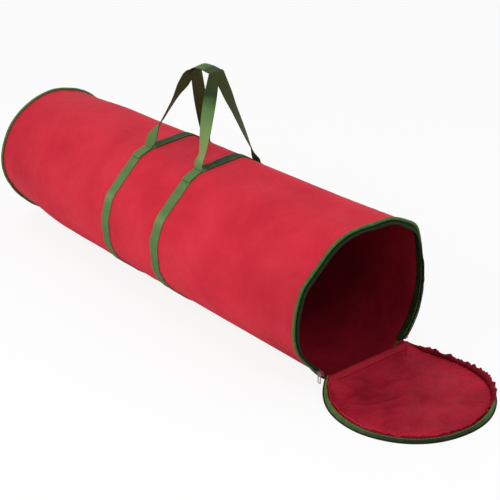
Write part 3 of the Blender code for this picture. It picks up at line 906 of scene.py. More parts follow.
@dataclass
class FabricTube:
    """The long wall of the bag and the round panel that closes its far end."""

    shape: BagShape
    palette: Palette
    places: int = 226
    turns: int = 212
    panel_turns: int = 180
    panel_rings: int = 34
    panel_tone: float = 0.93
    slack: float = 0.0045
    wrinkle: float = 0.0016

    def build(self) -> None:
        """Builds and dresses the wall and the panel."""
        self._wall()
        self._panel()

    def _wall(self) -> None:
        """The wall, one closed shell with its lining inside."""
        s = self.shape.sizes
        x = np.linspace(s.rear_x, s.mouth_x, self.places)
        angle = full_round(self.turns)[:, None]
        lift = self.shape.lifts(x)
        outer = self.shape.point(x, angle, 0.0, lift)
        inner = self.shape.point(x, angle, -s.fabric, lift)[:, ::-1]
        tone = self._tone(np.concatenate([x, x[::-1]]), np.degrees(angle))
        wall = loft("tube_wall", np.concatenate([outer, inner], 1), closed=True, tone=tone)
        dress(wall, self.palette.red_cloth, self.palette.lining)
        column = np.arange(len(wall.data.polygons)) % (self.places * 2)
        inside = ((column >= self.places - 1) & (column < self.places * 2 - 1)).astype(np.int32)
        wall.data.polygons.foreach_set("material_index", inside)
        settle(wall, Body.BAG, "red_fabric", "body_tube")

    @staticmethod
    def _tone(x: Array, degrees: Array) -> Array:
        """How light the wall's colour is: a little deeper at the closed end, and painted shade low down beside the
        mouth.
        """
        mouth = smooth((x - 0.32) / 0.16) * smooth((degrees - 40) / 35)
        return 1 - 0.07 * smooth((-0.30 - x) / 0.15) - 0.17 * mouth

    def _panel(self) -> None:
        """The round panel, a little slack between its stitches."""
        s = self.shape.sizes
        angle = full_round(self.panel_turns)
        rim = self.shape.point(np.full(angle.shape, s.rear_x), angle, 0.0, s.fabric + s.gap)
        centre = np.array([s.rear_x, 0.0, s.centre])
        rows = []
        for face in (0.0, s.fabric):
            shares = np.linspace(0.02, 1, self.panel_rings)
            for share in (shares if face == 0.0 else shares[::-1]):
                ring = centre + (rim - centre) * share
                slack = self.slack * (1 - share ** 4)
                puckers = grains(angle * 10, share * 2, 9.1) * self.wrinkle * share ** 5 * (1 - share ** 30)
                folds = grains(ring[:, 1] * 14, ring[:, 2] * 14, 0.3) * self.wrinkle
                ring[:, 0] += face + slack + (folds * (1 - share ** 6) + puckers)
                rows.append(ring)
        panel = loft("end_panel", np.array(rows), closed=False, tone=np.full((len(rows), len(angle)), self.panel_tone))
        settle(dress(panel, self.palette.red_cloth), Body.BAG, "red_fabric", "rear_panel")


@dataclass(frozen=True)
class Band:
    """One webbing band: its name, where it is, the corner where it bends and takes a painted highlight in degrees, and
    its share of the sway.
    """

    name: str
    x: float
    corner: float
    share: float


@dataclass
class Trim:
    """The binding of the closed end, the two webbing bands and the piping of the mouth.

    The top strip is the shaded part of the bands between the handles' feet, in degrees. The sway is how far the
    bands drift along the bag low on the nearer side, by the angle in degrees.
    """

    shape: BagShape
    palette: Palette
    bands: tuple[Band, ...] = (Band("rear_band", SIZES.rear_band_x, 69, 1.0),
                               Band("front_band", SIZES.front_band_x, 68, 0.5))
    turns: int = 300
    stitch_end: float = 146.0
    stitch_inset: float = 0.0025
    binding_width: float = 0.0045
    binding_rise: float = 0.0055
    piping_radius: float = 0.0031
    top_strip: tuple[float, float] = (-35.0, 18.0)
    sway: Table = ((-180, 0), (30, 0), (60, -0.0015), (90, -0.0045), (108, -0.006), (128, -0.0070), (148, 0), (180, 0))

    def build(self) -> None:
        """Builds and dresses the binding, the bands, the piping and their stitches."""
        self._binding()
        for band in self.bands:
            self._band(band)
        self._piping()
        self._stitches()

    def _round(self, profile: Array, floor: float, sway: float = 0.0) -> tuple[Array, Array, Array]:
        """Carries a closed profile round the bag.

        Args:
            profile: Lines of a place along the bag and a height over its skin.
            floor: How far the piece lifts the cloth off the floor.
            sway: How much of the bands' drift along the bag the piece has.

        Returns:
            The rows of points, the length along them and the length across a row.
        """
        angle = full_round(self.turns)[:, None]
        drift = eased_table(np.degrees(angle), self.sway) * sway
        rows = self.shape.point(profile[:, 0] + drift, angle, profile[:, 1], floor)
        middle = rows.mean(1)
        return rows, lengths(np.concatenate([middle, middle[:1]])), around(profile)

    def _binding(self) -> None:
        """The folded tape round the closed end's seam."""
        s = SIZES
        turns = np.linspace(0, math.pi, 9)
        half = self.binding_width / 2
        top = [(s.rear_x + half + half * math.cos(turn), self.binding_rise - half + half * math.sin(turn))
               for turn in turns]
        profile = np.array([(s.rear_x, s.gap), (s.rear_x + self.binding_width, s.gap)] + top)
        piece = loft("end_binding", *self._closed(profile, s.fabric + s.gap))
        settle(dress(piece, self.palette.binding), Body.BAG, "binding", "rear_binding")

    def _closed(self, profile: Array, floor: float) -> tuple[Array, bool, Array, Array]:
        """What loft needs for a closed profile carried round the bag."""
        rows, along, across = self._round(profile, floor)
        return rows, True, along, across

    def _band(self, band: Band) -> None:
        """One webbing band, with painted shade between the handles' feet and low on the nearer side, and a painted
        highlight where a roll's edge presses it out.
        """
        s = SIZES
        profile = webbing_profile(s.webbing_width, s.webbing) + np.array([band.x, s.gap + s.webbing / 2])
        rows, along, across = self._round(profile, s.gap + s.webbing, band.share)
        degrees = np.linspace(-180, 180, self.turns, endpoint=False)
        low, high = self.top_strip
        # Painted highlight where the band bends over the corner; painted shade low on the nearer side and on the top
        # strip between the handles' feet.
        tone = 0.50 + 0.22 * np.exp(-((degrees - band.corner) / 3.5) ** 2) - 0.05 * smooth((degrees - 84) / 14)
        tone -= 0.24 * smooth((degrees - low) / 3) * smooth((high - degrees) / 3)
        piece = loft(band.name + "_webbing", rows, True, along, across, np.repeat(tone[:, None], len(profile), 1))
        settle(dress(piece, self.palette.webbing), Body.BAG, "webbing", band.name)

    def _piping(self) -> None:
        """The round piping of the mouth."""
        s = SIZES
        radius = self.piping_radius
        profile = circle(radius, 12) + np.array([s.mouth_x - s.gap * 2 + radius, radius - s.fabric])
        piece = loft("mouth_piping_cord", *self._closed(profile, 0.0))
        settle(dress(piece, self.palette.piping), Body.BAG, "binding", "mouth_piping")

    def _ring(self, x: float, grow: float, sway: float = 0.0) -> Array:
        """A line over the skin from one side of the floor strip over the top to the other."""
        degrees = np.linspace(-self.stitch_end, self.stitch_end, 400)
        return self.shape.point(x + eased_table(degrees, self.sway) * sway, np.radians(degrees), grow)

    def _stitches(self) -> None:
        """The rows of stitches along the bands, the binding and the piping."""
        s = SIZES
        over = s.gap + s.webbing
        rows = [self._ring(band.x + side * (s.webbing_width / 2 - self.stitch_inset), over, band.share)
                for band in self.bands for side in (-1, 1)]
        rows += [self._ring(s.rear_x + self.binding_width, 0.0035), self._ring(s.rear_x, 0.0035)]
        settle(self.palette.green_tool.run("bag_green_stitches", rows), Body.BAG, "webbing")
        seams = [self._ring(s.mouth_x - 0.0035, 0.0001), self._ring(s.rear_x + 0.0075, 0.0001)]
        settle(self.palette.red_tool.run("bag_red_stitches", seams), Body.BAG, "red_fabric")


@dataclass(frozen=True)
class HandleFit:
    """How one handle differs from the other.

    Its sewn ends stop at a distance round the bag from the top. The grip's inner edge stands apart from the bag's
    middle plane, and the grip is tilted, by radians, and lifted. The front leg bows towards the mouth. The turns
    say by how many degrees each leg has turned from the band's direction towards the grip's, at shares of its
    length. The tones, painted shade and painted light on the outer and inner faces, go from the rear sewn end
    (-1 to 0) up the rear leg (0 to 1), along the grip (1 to 2) and down the front leg (2 to 3) to its end.
    down the front leg (2 to 3) to its end.
    """

    sewn_round: float
    apart: float
    tilt: float
    lift: float
    rear_turns: Table
    front_turns: Table
    front_bow: float
    outer: Table
    inner: Table


@dataclass
class Handle:
    """One carrying handle: a single length of webbing, sewn to both bands and standing up in a loop.

    The ends of the grip have heights over the floor and lean in from the bands, along the bag. The fold is how
    far the bend between a leg and the grip reaches, and the arch how high the grip's middle stands.
    """

    side: Side
    fit: HandleFit
    shape: BagShape
    palette: Palette
    sewn_length: float = 0.0366
    rear_height: float = 0.4460
    front_height: float = 0.4545
    rear_lean: float = 0.089
    front_lean: float = 0.0064
    fold: float = 0.006
    arch: float = 0.0065
    leg_steps: int = 48
    foot: float = 0.006
    bow_share: float = 0.15
    stitch_edge: float = 0.0028
    stitch_end: float = 0.0025
    stitch_start: float = 0.028

    @property
    def name(self) -> str:
        """The handle's name, near or far."""
        return self.side.name.lower()

    @property
    def sewn_grow(self) -> float:
        """Height of the middle of the sewn webbing over the bag's skin."""
        return SIZES.gap * 2 + SIZES.webbing * 1.5

    @property
    def pivot(self) -> Vector:
        """The line that the loop folds on, drawn for the near side."""
        angle = self.fit.sewn_round / SIZES.radius
        reach = SIZES.radius + self.sewn_grow + SIZES.webbing + SIZES.gap
        return Vector((0, -reach * math.sin(angle), SIZES.centre + reach * math.cos(angle)))

    def build(self) -> None:
        """Builds the handle as one ribbon from its rear end to its front end, with its stitches."""
        places, across, stages = self._route()
        along = np.gradient(places, axis=0)
        along /= np.linalg.norm(along, axis=1)[:, None]
        across -= along * np.einsum("ij,ij->i", across, along)[:, None]
        across /= np.linalg.norm(across, axis=1)[:, None]
        outward = np.cross(across, along)
        profile = webbing_profile(SIZES.webbing_width, SIZES.webbing)
        rows = (places[:, None] + across[:, None] * profile[None, :, :1]
                + outward[:, None] * profile[None, :, 1:])
        rows[..., 1] *= self.side.value
        # Painted shade and painted light along the outer and inner faces, from the fit's tables.
        outer, inner = along_table(stages, self.fit.outer), along_table(stages, self.fit.inner)
        face = profile[:, 1] > 0
        tone = np.where(face[None], outer[:, None], inner[:, None])
        piece = loft(self.name + "_handle_webbing", rows, False, lengths(places), around(profile), tone)
        dress(piece, self.palette.webbing)
        name = self.name + "_handle"
        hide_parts(name, name + "_rear_end", name + "_front_end")
        self.name + "_loop"
        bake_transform(piece)
        self._stitches()

    def _stitches(self) -> None:
        """The seams that hold both sewn ends: two rows along the webbing and four across it."""
        first = self.fit.sewn_round / SIZES.radius
        last = first + self.sewn_length / SIZES.radius
        over = self.sewn_grow + SIZES.webbing / 2
        half = SIZES.webbing_width / 2 - self.stitch_edge
        inset = self.stitch_end / SIZES.radius
        lines = []
        for centre in (SIZES.rear_band_x, SIZES.front_band_x):
            run = np.linspace(first + self.stitch_start, last - inset, 40) * self.side.value
            lines += [self.shape.point(np.full(40, centre + way * half), run, over) for way in (-1, 1)]
            x = np.linspace(centre - half, centre + half, 16)
            for turn in (first + self.stitch_start, first + 0.045, last - inset * 2.4, last - inset):
                lines.append(self.shape.point(x, np.full(16, turn * self.side.value), over))
        seams = self.palette.green_tool.run(self.name + "_handle_stitches", lines, Pitch=0.0032, Stitch_length=0.0027)
        settle(seams, Body.BAG, "webbing")

    def _route(self) -> tuple[Array, Array, Array]:
        """Middle line of the webbing, drawn for the near side.

        Returns:
            Its places, the direction across it at each one, and how far along the handle each one is.
        """
        fit = self.fit
        grip_y = -(fit.apart + SIZES.webbing_width / 2 * math.cos(fit.tilt))
        pivot = self.pivot
        rear_foot = Vector((SIZES.rear_band_x, pivot.y, pivot.z))
        front_foot = Vector((SIZES.front_band_x, pivot.y, pivot.z))
        rear_fold = Vector((rear_foot.x + self.rear_lean, grip_y, self.rear_height + fit.lift))
        front_fold = Vector((front_foot.x - self.front_lean, grip_y, self.front_height + fit.lift))
        rear = self._half(rear_foot, rear_fold, front_fold, 1, fit.rear_turns, 0.0)
        front = self._half(front_foot, front_fold, rear_fold, -1, fit.front_turns, fit.front_bow)
        start, end = rear[-1][0], front[-1][0]
        middle = []
        for step in range(1, 12):
            place = start.lerp(end, step / 12)
            place.z += self.arch * math.sin(math.pi * (step / 12) ** 0.75)
            middle.append((place, rear[-1][1], 1.2 + 0.6 * step / 12))
        whole = rear + middle + [(place, way, 3 - stage) for place, way, stage in front[::-1]]
        return (np.array([tuple(place) for place, _, _ in whole]), np.array([tuple(way) for _, way, _ in whole]),
                np.array([stage for _, _, stage in whole]))

    def _half(self, foot: Vector, fold: Vector, beyond: Vector, way: int, turns: Table,
              bow: float) -> list[tuple[Vector, Vector, float]]:
        """One sewn end, its leg and half of the grip's fold.

        Args:
            foot: Where the leg leaves the band.
            fold: Where the leg would meet the grip.
            beyond: Where the other leg would meet it.
            way: 1 for the rear leg and -1 for the front one, whose route runs backwards.
            turns: How far the leg has turned at shares of its length, in degrees.
            bow: How far the leg bows towards the mouth, low down.

        Returns:
            Places with the direction across the webbing and how far along this half each one is.
        """
        flat = Vector((way, 0, 0))
        grip = Vector((0, -math.cos(self.fit.tilt), -math.sin(self.fit.tilt)))
        first = (self.fit.sewn_round + self.sewn_length) / SIZES.radius
        last = self.fit.sewn_round / SIZES.radius + 0.012
        angles = np.linspace(first, last, 14)
        sewn = self.shape.point(np.full(14, foot.x), angles * self.side.value, self.sewn_grow)
        sewn[:, 1] *= self.side.value
        route = [(Vector(place), flat, -1 + step / 14) for step, place in enumerate(sewn)]
        leg = (fold - foot).normalized()
        before = fold - leg * self.fold
        after = fold + (beyond - fold).normalized() * self.fold
        start, knee = Vector(sewn[-1]), foot + leg * self.foot
        corner = Vector((foot.x, foot.y, start.z + 0.0004))
        for step in range(1, 9):
            share = step / 9
            route.append((start.lerp(corner, share).lerp(corner.lerp(knee, share), share), flat, 0.0))
        for step in range(self.leg_steps):
            share = step / self.leg_steps
            turn = math.radians(float(along_table(share, turns)))
            place = knee.lerp(before, share)
            place.x += bow * share / self.bow_share * math.exp(1 - share / self.bow_share)
            route.append((place, flat * math.cos(turn) + grip * math.sin(turn), share))
        for step in range(13):
            share = step / 12
            route.append((before.lerp(fold, share).lerp(fold.lerp(after, share), share), grip, 1 + share * 0.2))
        return route


@dataclass
class Lid:
    """The round lid that lies open: its panel, gathered rim, zip tape and coil.

    The tables go by the angle in degrees that a place has when the lid is closed. They give how far the zip is
    from the bag's axis then, how high the seam of the tape stands over the floor and how far inside the zip it
    is, how far the gathers lean out over it and the painted shade and light on them, how deep the pleats beside
    them are, and the painted shade and light on the tape.
    """

    palette: Palette
    panel_rows: int = 60
    turns: int = 300
    flatten: float = 0.12
    half_thick: float = 0.0005
    lowest: float = 0.0002
    stitch_share: float = 0.80
    panel_inset: float = 0.0010
    edge_drop: float = 0.0014
    hang: float = 0.026
    furrow: float = 0.0055
    rim_from: float = 0.0075
    pucker: float = 0.0105
    outline: Table = ((-139, 0.149), (-120, 0.147), (-100, 0.144), (-88, 0.143), (-60, 0.142), (-43, 0.1405),
                      (-29, 0.1400), (-16, 0.1412), (-3, 0.1415), (15, 0.1435), (30, 0.1475), (41, 0.150),
                      (54, 0.153), (67, 0.1545), (79, 0.157), (108, 0.157), (123, 0.1555), (135, 0.152),
                      (139, 0.149))
    seam_lift: Table = ((-139, 0.002), (-122, 0.006), (-90, 0.010), (-55, 0.012), (-25, 0.011), (0, 0.007),
                        (20, 0.006), (60, 0.006), (100, 0.0065), (125, 0.007), (139, 0.002))
    seam_inset: Table = ((-139, 0.002), (-90, 0.006), (-50, 0.004), (-15, 0.005), (20, 0.0055), (90, 0.006),
                         (120, 0.006), (139, 0.002))
    rim_lean: Table = ((-139, 0.0), (-110, 0.002), (-75, 0.006), (-50, 0.0075), (-30, 0.006), (-10, 0.0), (139, 0.0))
    rim_painted_shade: Table = ((-139, 0.5), (-110, 0.42), (-30, 0.42), (0, 0.7), (20, 1.0), (139, 1.0))
    pleats: Table = ((-139, 0.3), (-110, 0.8), (-60, 1.0), (-20, 0.9), (0, 0.5), (30, 0.35), (139, 0.3))
    tape_painted_shade: Table = ((-139, 0.8), (-40, 0.95), (-20, 1.0), (-8, 0.65), (4, 0.24), (40, 0.18), (64, 0.26),
                        (88, 0.75), (103, 1.05), (139, 1.0))

    def place(self, angle: Array, reach: Array, height: Any) -> Array:
        """Where a point of the open lid lies.

        Args:
            angle: The angle round the bag that the point has when the lid is closed.
            reach: Its distance from the bag's axis then.
            height: How far it stands over the floor.

        Returns:
            The points.
        """
        s = SIZES
        turn = s.lid_open
        up = s.centre + reach * np.cos(angle) - s.fold_height
        rise = (height - s.fold_height - up * math.cos(turn)) / math.sin(turn)
        return np.stack(np.broadcast_arrays(s.lid_x - rise * math.cos(turn) + up * math.sin(turn),
                                            -reach * np.sin(angle),
                                            np.maximum(s.fold_height + rise * math.sin(turn)
                                                       + up * math.cos(turn), 0.0)), -1)

    def build(self) -> None:
        """Builds and dresses the lid."""
        self._panel()
        self._tape()
        self._coil()
        self._rim()
        self._stitches()

    def _drape(self, angle: Array, reach: Array, over: float) -> Array:
        """Height of the cloth where it hangs from the fold down to the floor, or to a little over it."""
        up = SIZES.centre + reach * np.cos(angle) - SIZES.fold_height
        return over + (SIZES.fold_height - over) * np.exp(-np.clip(up, 0, None) / self.hang)

    def _zip(self, angle: Array) -> tuple[Array, Array]:
        """Reach and height of the middle of the zip."""
        reach = eased_table(np.degrees(angle), self.outline)
        return reach, self._drape(angle, reach, SIZES.coil_radius)

    def _seam(self, angle: Array) -> tuple[Array, Array]:
        """Reach and height of the seam between the tape and the panel."""
        reach, low = self._zip(angle)
        degrees = np.degrees(angle)
        return (reach - SIZES.coil_radius - SIZES.gap - eased_table(degrees, self.seam_inset),
                low + eased_table(degrees, self.seam_lift))

    def _wall(self, angle: Array, share: float) -> tuple[Array, Array]:
        """Reach and height of the tape at a share of its way from the coil up to the seam."""
        (reach, low), (seam, top) = self._zip(angle), self._seam(angle)
        outer = reach - SIZES.coil_radius
        return outer + (seam - outer) * share ** 1.4, low + (top - low) * share ** 0.8

    def _furrow(self, angle: Array) -> tuple[float, Array]:
        """Where the gathers end, and how deep the furrow beside the tape is at each angle."""
        end = self._arc(self.rim_from, 2)[-1]
        return end, self.furrow * smooth((end - np.abs(angle)) / 0.2)

    def _ride(self, piece: Object, slot: str, *nodes: str) -> None:
        """Fixes a soft piece to the lid and gives it a mesh of its own."""
        settle(piece, Body.LID, slot, *nodes)
        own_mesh(piece)

    def _panel(self) -> None:
        """The lid's cloth, resting on the floor inside its raised edge."""
        s = SIZES
        angle = full_round(self.turns * 2)
        seam, top = self._seam(angle)
        full = seam - self.panel_inset
        down = np.clip(-np.cos(angle), 1e-6, None)
        at_fold = np.where(np.cos(angle) < 0, (s.centre - s.fold_height - 0.0003) / down, 1.0)
        rim = np.minimum(full, at_fold)
        free = smooth((at_fold - full) / 0.004)
        deep = eased_table(np.degrees(angle), self.pleats) * free
        edge = np.maximum(top - self._furrow(angle)[1] - self.edge_drop, s.fabric + 0.0003)
        rows, tones = [], []
        shares = np.linspace(0.02, 1, self.panel_rows)
        for thick in (0.0, s.fabric):
            for share in (shares if thick == 0.0 else shares[::-1]):
                reach = rim * share
                up = share ** 13 * free
                floor = self._drape(angle, reach, s.fabric + 0.0004)
                away = smooth((s.centre + reach * np.cos(angle) - s.fold_height) / 0.03)
                wrinkle = self._wrinkles(angle, reach) * away * (1 - share ** 10)
                puckers = np.abs(grains(angle * 19, share * 1.6, 2.7)) * self.pucker * share ** 5 * (1 - share ** 24)
                rows.append(self.place(angle, reach, floor * (1 - up) + edge * up + wrinkle + puckers * deep - thick))
                # Painted light: the cloth is lighter near the rim where the pleats are deep.
                tones.append(1 + 0.3 * share ** 6 * deep)
        panel = loft("lid_cloth", np.array(rows), closed=False, tone=np.array(tones))
        self._ride(dress(panel, self.palette.lid_cloth), "lid_fabric", "lid_panel")

    @staticmethod
    def _wrinkles(angle: Array, reach: Array) -> Array:
        """Height of the lid cloth's wrinkles over the floor."""
        along, across = reach * np.cos(angle), reach * np.sin(angle)
        broad = np.abs(grains(along * 17, across * 17, 4.2)) * 0.0065
        return broad + np.clip(0.30 - np.abs(grains(along * 26 + across * 9, across * 21, 8.4)), 0, 1) * 0.009

    def _arc(self, low: float, points: int) -> Array:
        """Angles of a round of the lid that stops at a height over the fold."""
        end = math.acos((low + SIZES.fold_height - SIZES.centre) / 0.1455)
        return np.linspace(-end, end, points)

    def _ribbon(self, name: str, angle: Array, rows: Sequence[tuple[Array, Array]], tone: Array) -> Object:
        """A thin sheet through lines of reach and height, given its thickness.

        Args:
            name: The piece's name.
            angle: Angles of the points of each line.
            rows: Reach and height of each line.
            tone: How light each line is at each angle.

        Returns:
            The new object.
        """
        solid = thicken(np.array([self.place(angle, reach, height) for reach, height in rows]), self.half_thick)
        solid[..., 2] = np.maximum(solid[..., 2], self.lowest)
        tone = np.concatenate([tone, tone[::-1]]).T
        return loft(name, solid, False, lengths(solid[:, 0]), around(solid[len(solid) // 2]), tone)

    def _tape(self) -> None:
        """The zip tape, a low wall from the coil up to the seam."""
        angle = self._arc(0.0003, self.turns)
        rows = [self._wall(angle, share) for share in np.linspace(0, 1, 8)]
        # Painted shade along the tape, darkest from about 0 to 65 degrees.
        tone = np.repeat(eased_table(np.degrees(angle), self.tape_painted_shade)[None], 8, 0)
        tape = self._ribbon("lid_tape", angle, rows, tone)
        self._ride(dress(tape, self.palette.lid_tape), "zip_tape", "lid_zip_tape")

    def _coil(self) -> None:
        """The lid's coil: a core cord with the turns of nylon round it."""
        angle = self._arc(0.0016, self.turns)
        reach, low = self._zip(angle)
        rows = np.array([self.place(angle, reach + out, low + up) for out, up in CORD])
        cord = loft("lid_coil_core", rows.transpose(1, 0, 2), False)
        self._ride(dress(cord, self.palette.coil), "zip_coil", "lid_zip_coil")
        line = self.place(angle, reach, low + self.lowest)
        self._ride(self.palette.coil_tool.run("lid_coil_turns", [line]), "zip_coil")

    def _rim(self) -> None:
        """The gathered seam allowance: from the tape down into a furrow and up to a puckered edge."""
        angle = self._arc(self.rim_from, self.turns * 3)
        seam, top = self._seam(angle)
        degrees = np.degrees(angle)
        lean = eased_table(degrees, self.rim_lean)
        end, furrow = self._furrow(angle)
        wide = 0.06 + 0.94 * smooth((end - np.abs(angle)) / 0.06)
        wave = grains(angle * 16, 0.5, 0.0) * 1.1 + grains(angle * 34, 1.5, 0.0) * 0.8
        side = grains(angle * 22, 7.5, 0.0)
        # Painted shade and painted light round the lid.
        light = eased_table(degrees, self.rim_painted_shade)
        rows, tones = [], []
        # Painted shade deepens down into the furrow, and painted light grows towards the puckered edge.
        for share in np.linspace(0, 1, 5):
            rows.append((seam - (0.0003 + 0.0032 * share) * wide, top - furrow * math.sin(share * math.pi / 2)))
            tones.append(light * (0.75 - 0.45 * share))
        for share in np.linspace(0.15, 1, 7):
            rows.append((seam + ((lean + 0.0010) * share ** 3 + side * 0.0030 * share - 0.0038) * wide,
                         top + furrow * ((1.73 + wave * 0.58) * share - 1)))
            tones.append(light * (0.35 + 0.65 * share))
        rim = self._ribbon("lid_gathers", angle, rows, np.array(tones))
        self._ride(dress(rim, self.palette.gathers), "red_fabric", "lid_gathered_rim")

    def _stitches(self) -> None:
        """The stitches of the lid's seam, on the outside of the tape."""
        angle = self._arc(0.004, self.turns)
        reach, height = self._wall(angle, self.stitch_share)
        line = self.place(angle, reach + 0.0005, height + 0.0003)
        self._ride(self.palette.green_tool.run("lid_green_stitches", [line]), "webbing")


@dataclass
class MouthZip:
    """The mouth's half of the zip, the cloth that folds below it, the stops, the slider and its pull.

    The open zip leans in from the piping by the distances of its table, which go by the angle in degrees. The
    cloth goes over the fold along the other table, a place along the bag and a height from the fold's own.
    """

    shape: BagShape
    palette: Palette
    turns: int = 300
    coil_setback: float = 0.005
    tape_overlap: float = 0.004
    half_thick: float = 0.0005
    fold_points: int = 80
    over_fold: Table = ((-0.0010, -0.0012), (-0.0002, 0.0001), (0.0012, 0.0009), (0.0030, 0.0008), (0.0060, -0.0012),
                        (0.0090, -0.0036), (0.0120, -0.0056))
    lean: Table = ((-143, 0), (-118, 0), (-100, 0), (-75, 0.002), (-62, 0.006), (-50, 0.010), (-42, 0.009),
                   (-30, 0.003), (-15, 0.0005), (0, -0.001), (20, -0.0015), (40, -0.002), (55, -0.0032),
                   (104, -0.0032), (114, -0.002), (122, 0), (143, 0))

    def build(self) -> None:
        """Builds and dresses the tape, the coil and the fold, and dresses the metal parts."""
        self._tape()
        self._coil()
        self._fold()
        for name in ("zip_near_stop", "zip_far_stop", "zip_slider", "zip_pull"):
            dress(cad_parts[name], self.palette.nickel)

    def _angles(self, beyond: float) -> Array:
        """Angles of the zip's way round the mouth, to some distance beyond the fold."""
        end = SIZES.fold_angle + beyond / SIZES.coil_reach
        return np.linspace(-end, end, self.turns)

    def _point(self, x: Any, angle: Array, grow: Any) -> Array:
        """Where a point of the leaning tape lies."""
        start = SIZES.mouth_x + 0.003
        share = np.clip((np.asarray(x, float) - start) / (SIZES.mouth_coil_x - start), 0, 1)
        return self.shape.point(x, angle, grow - eased_table(np.degrees(angle), self.lean) * share)

    def _tape(self) -> None:
        """The tape sewn inside the piping, with its row of stitches."""
        s = SIZES
        outer, inner = -(s.fabric + s.gap), -(s.fabric + s.gap + s.zip_tape)
        x = np.linspace(s.mouth_x - s.mouth_tape_tuck, s.mouth_x + s.mouth_tape_width, 9)
        profile = np.concatenate([np.stack([x, np.full(9, outer)], 1), np.stack([x, np.full(9, inner)], 1)[::-1]])
        angle = self._angles(self.tape_overlap)
        narrow = 0.45 + 0.55 * smooth((angle[-1] - np.abs(angle)) / 0.055)
        place = s.mouth_x + (profile[:, 0] - s.mouth_x) * narrow[:, None]
        rows = self._point(place, angle[:, None], profile[:, 1])
        tape = loft("mouth_tape", rows, False, lengths(rows[:, 4]), around(profile))
        settle(dress(tape, self.palette.zip_tape), Body.BAG, "zip_tape", "mouth_zip_tape")
        angle = self._angles(-self.coil_setback * 2)
        line = self._point(np.full(self.turns, s.mouth_x + s.mouth_tape_width * 0.55), angle, inner)
        settle(self.palette.green_tool.run("mouth_green_stitches", [line]), Body.BAG, "webbing")

    def _coil(self) -> None:
        """The mouth's coil: a core cord with the turns of nylon round it."""
        s = SIZES
        angle = self._angles(-self.coil_setback)
        rows = self._point(s.mouth_coil_x + CORD[:, 0], angle[:, None], s.coil_grow + CORD[:, 1])
        cord = loft("mouth_coil_core", rows, False)
        settle(dress(cord, self.palette.coil), Body.BAG, "zip_coil", "mouth_zip_coil")
        line = self._point(np.full(self.turns, s.mouth_coil_x), angle, s.coil_grow)
        settle(self.palette.coil_tool.run("mouth_coil_turns", [line]), Body.BAG, "zip_coil")

    def _fold(self) -> None:
        """The cloth from the piping up to the fold and a little way over it onto the lid."""
        s = SIZES
        seat = (s.piping_radius + 0.0006) * math.sqrt(0.5)
        end = math.pi - s.fold_angle + 0.003 / s.coil_reach
        turn = np.linspace(-end, end, self.fold_points)
        foot = self.shape.point(np.full(self.fold_points, s.mouth_x + s.gap + s.piping_radius + seat),
                                math.pi - turn, s.piping_radius - s.fabric - seat)
        route = [foot + (np.array([s.lid_x - 0.0012, 0, s.fold_height - 0.0028]) * [1, 0, 1]
                         - foot * [1, 0, 1]) * share for share in np.linspace(0, 1, 9)]
        for x, z in self.over_fold:
            over = foot.copy()
            over[:, 0], over[:, 2] = s.lid_x + x, s.fold_height + z
            route.append(over)
        rows = np.array(route)
        rows[..., 1] *= 1 - 0.03 * smooth((rows[..., 0] - s.lid_x) / 0.012)
        rows[..., 2] += grains(rows[..., 1] * 55, rows[..., 0] * 30, 1.1) * 0.0007
        solid = thicken(rows, self.half_thick)
        cloth = loft("lid_apron_cloth", solid, False, tone=np.ones(solid.shape[:2]))
        dress(cloth, self.palette.lid_cloth)
        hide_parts("lid_apron")
        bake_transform(cloth)


# The studio

WHITE = linear("#FFFFFF")


@dataclass(frozen=True)
class Lamp:
    """One large lamp: where it is, what it points at, how wide it is and its power."""

    name: str
    place: Place
    target: Place
    size: float
    power: float


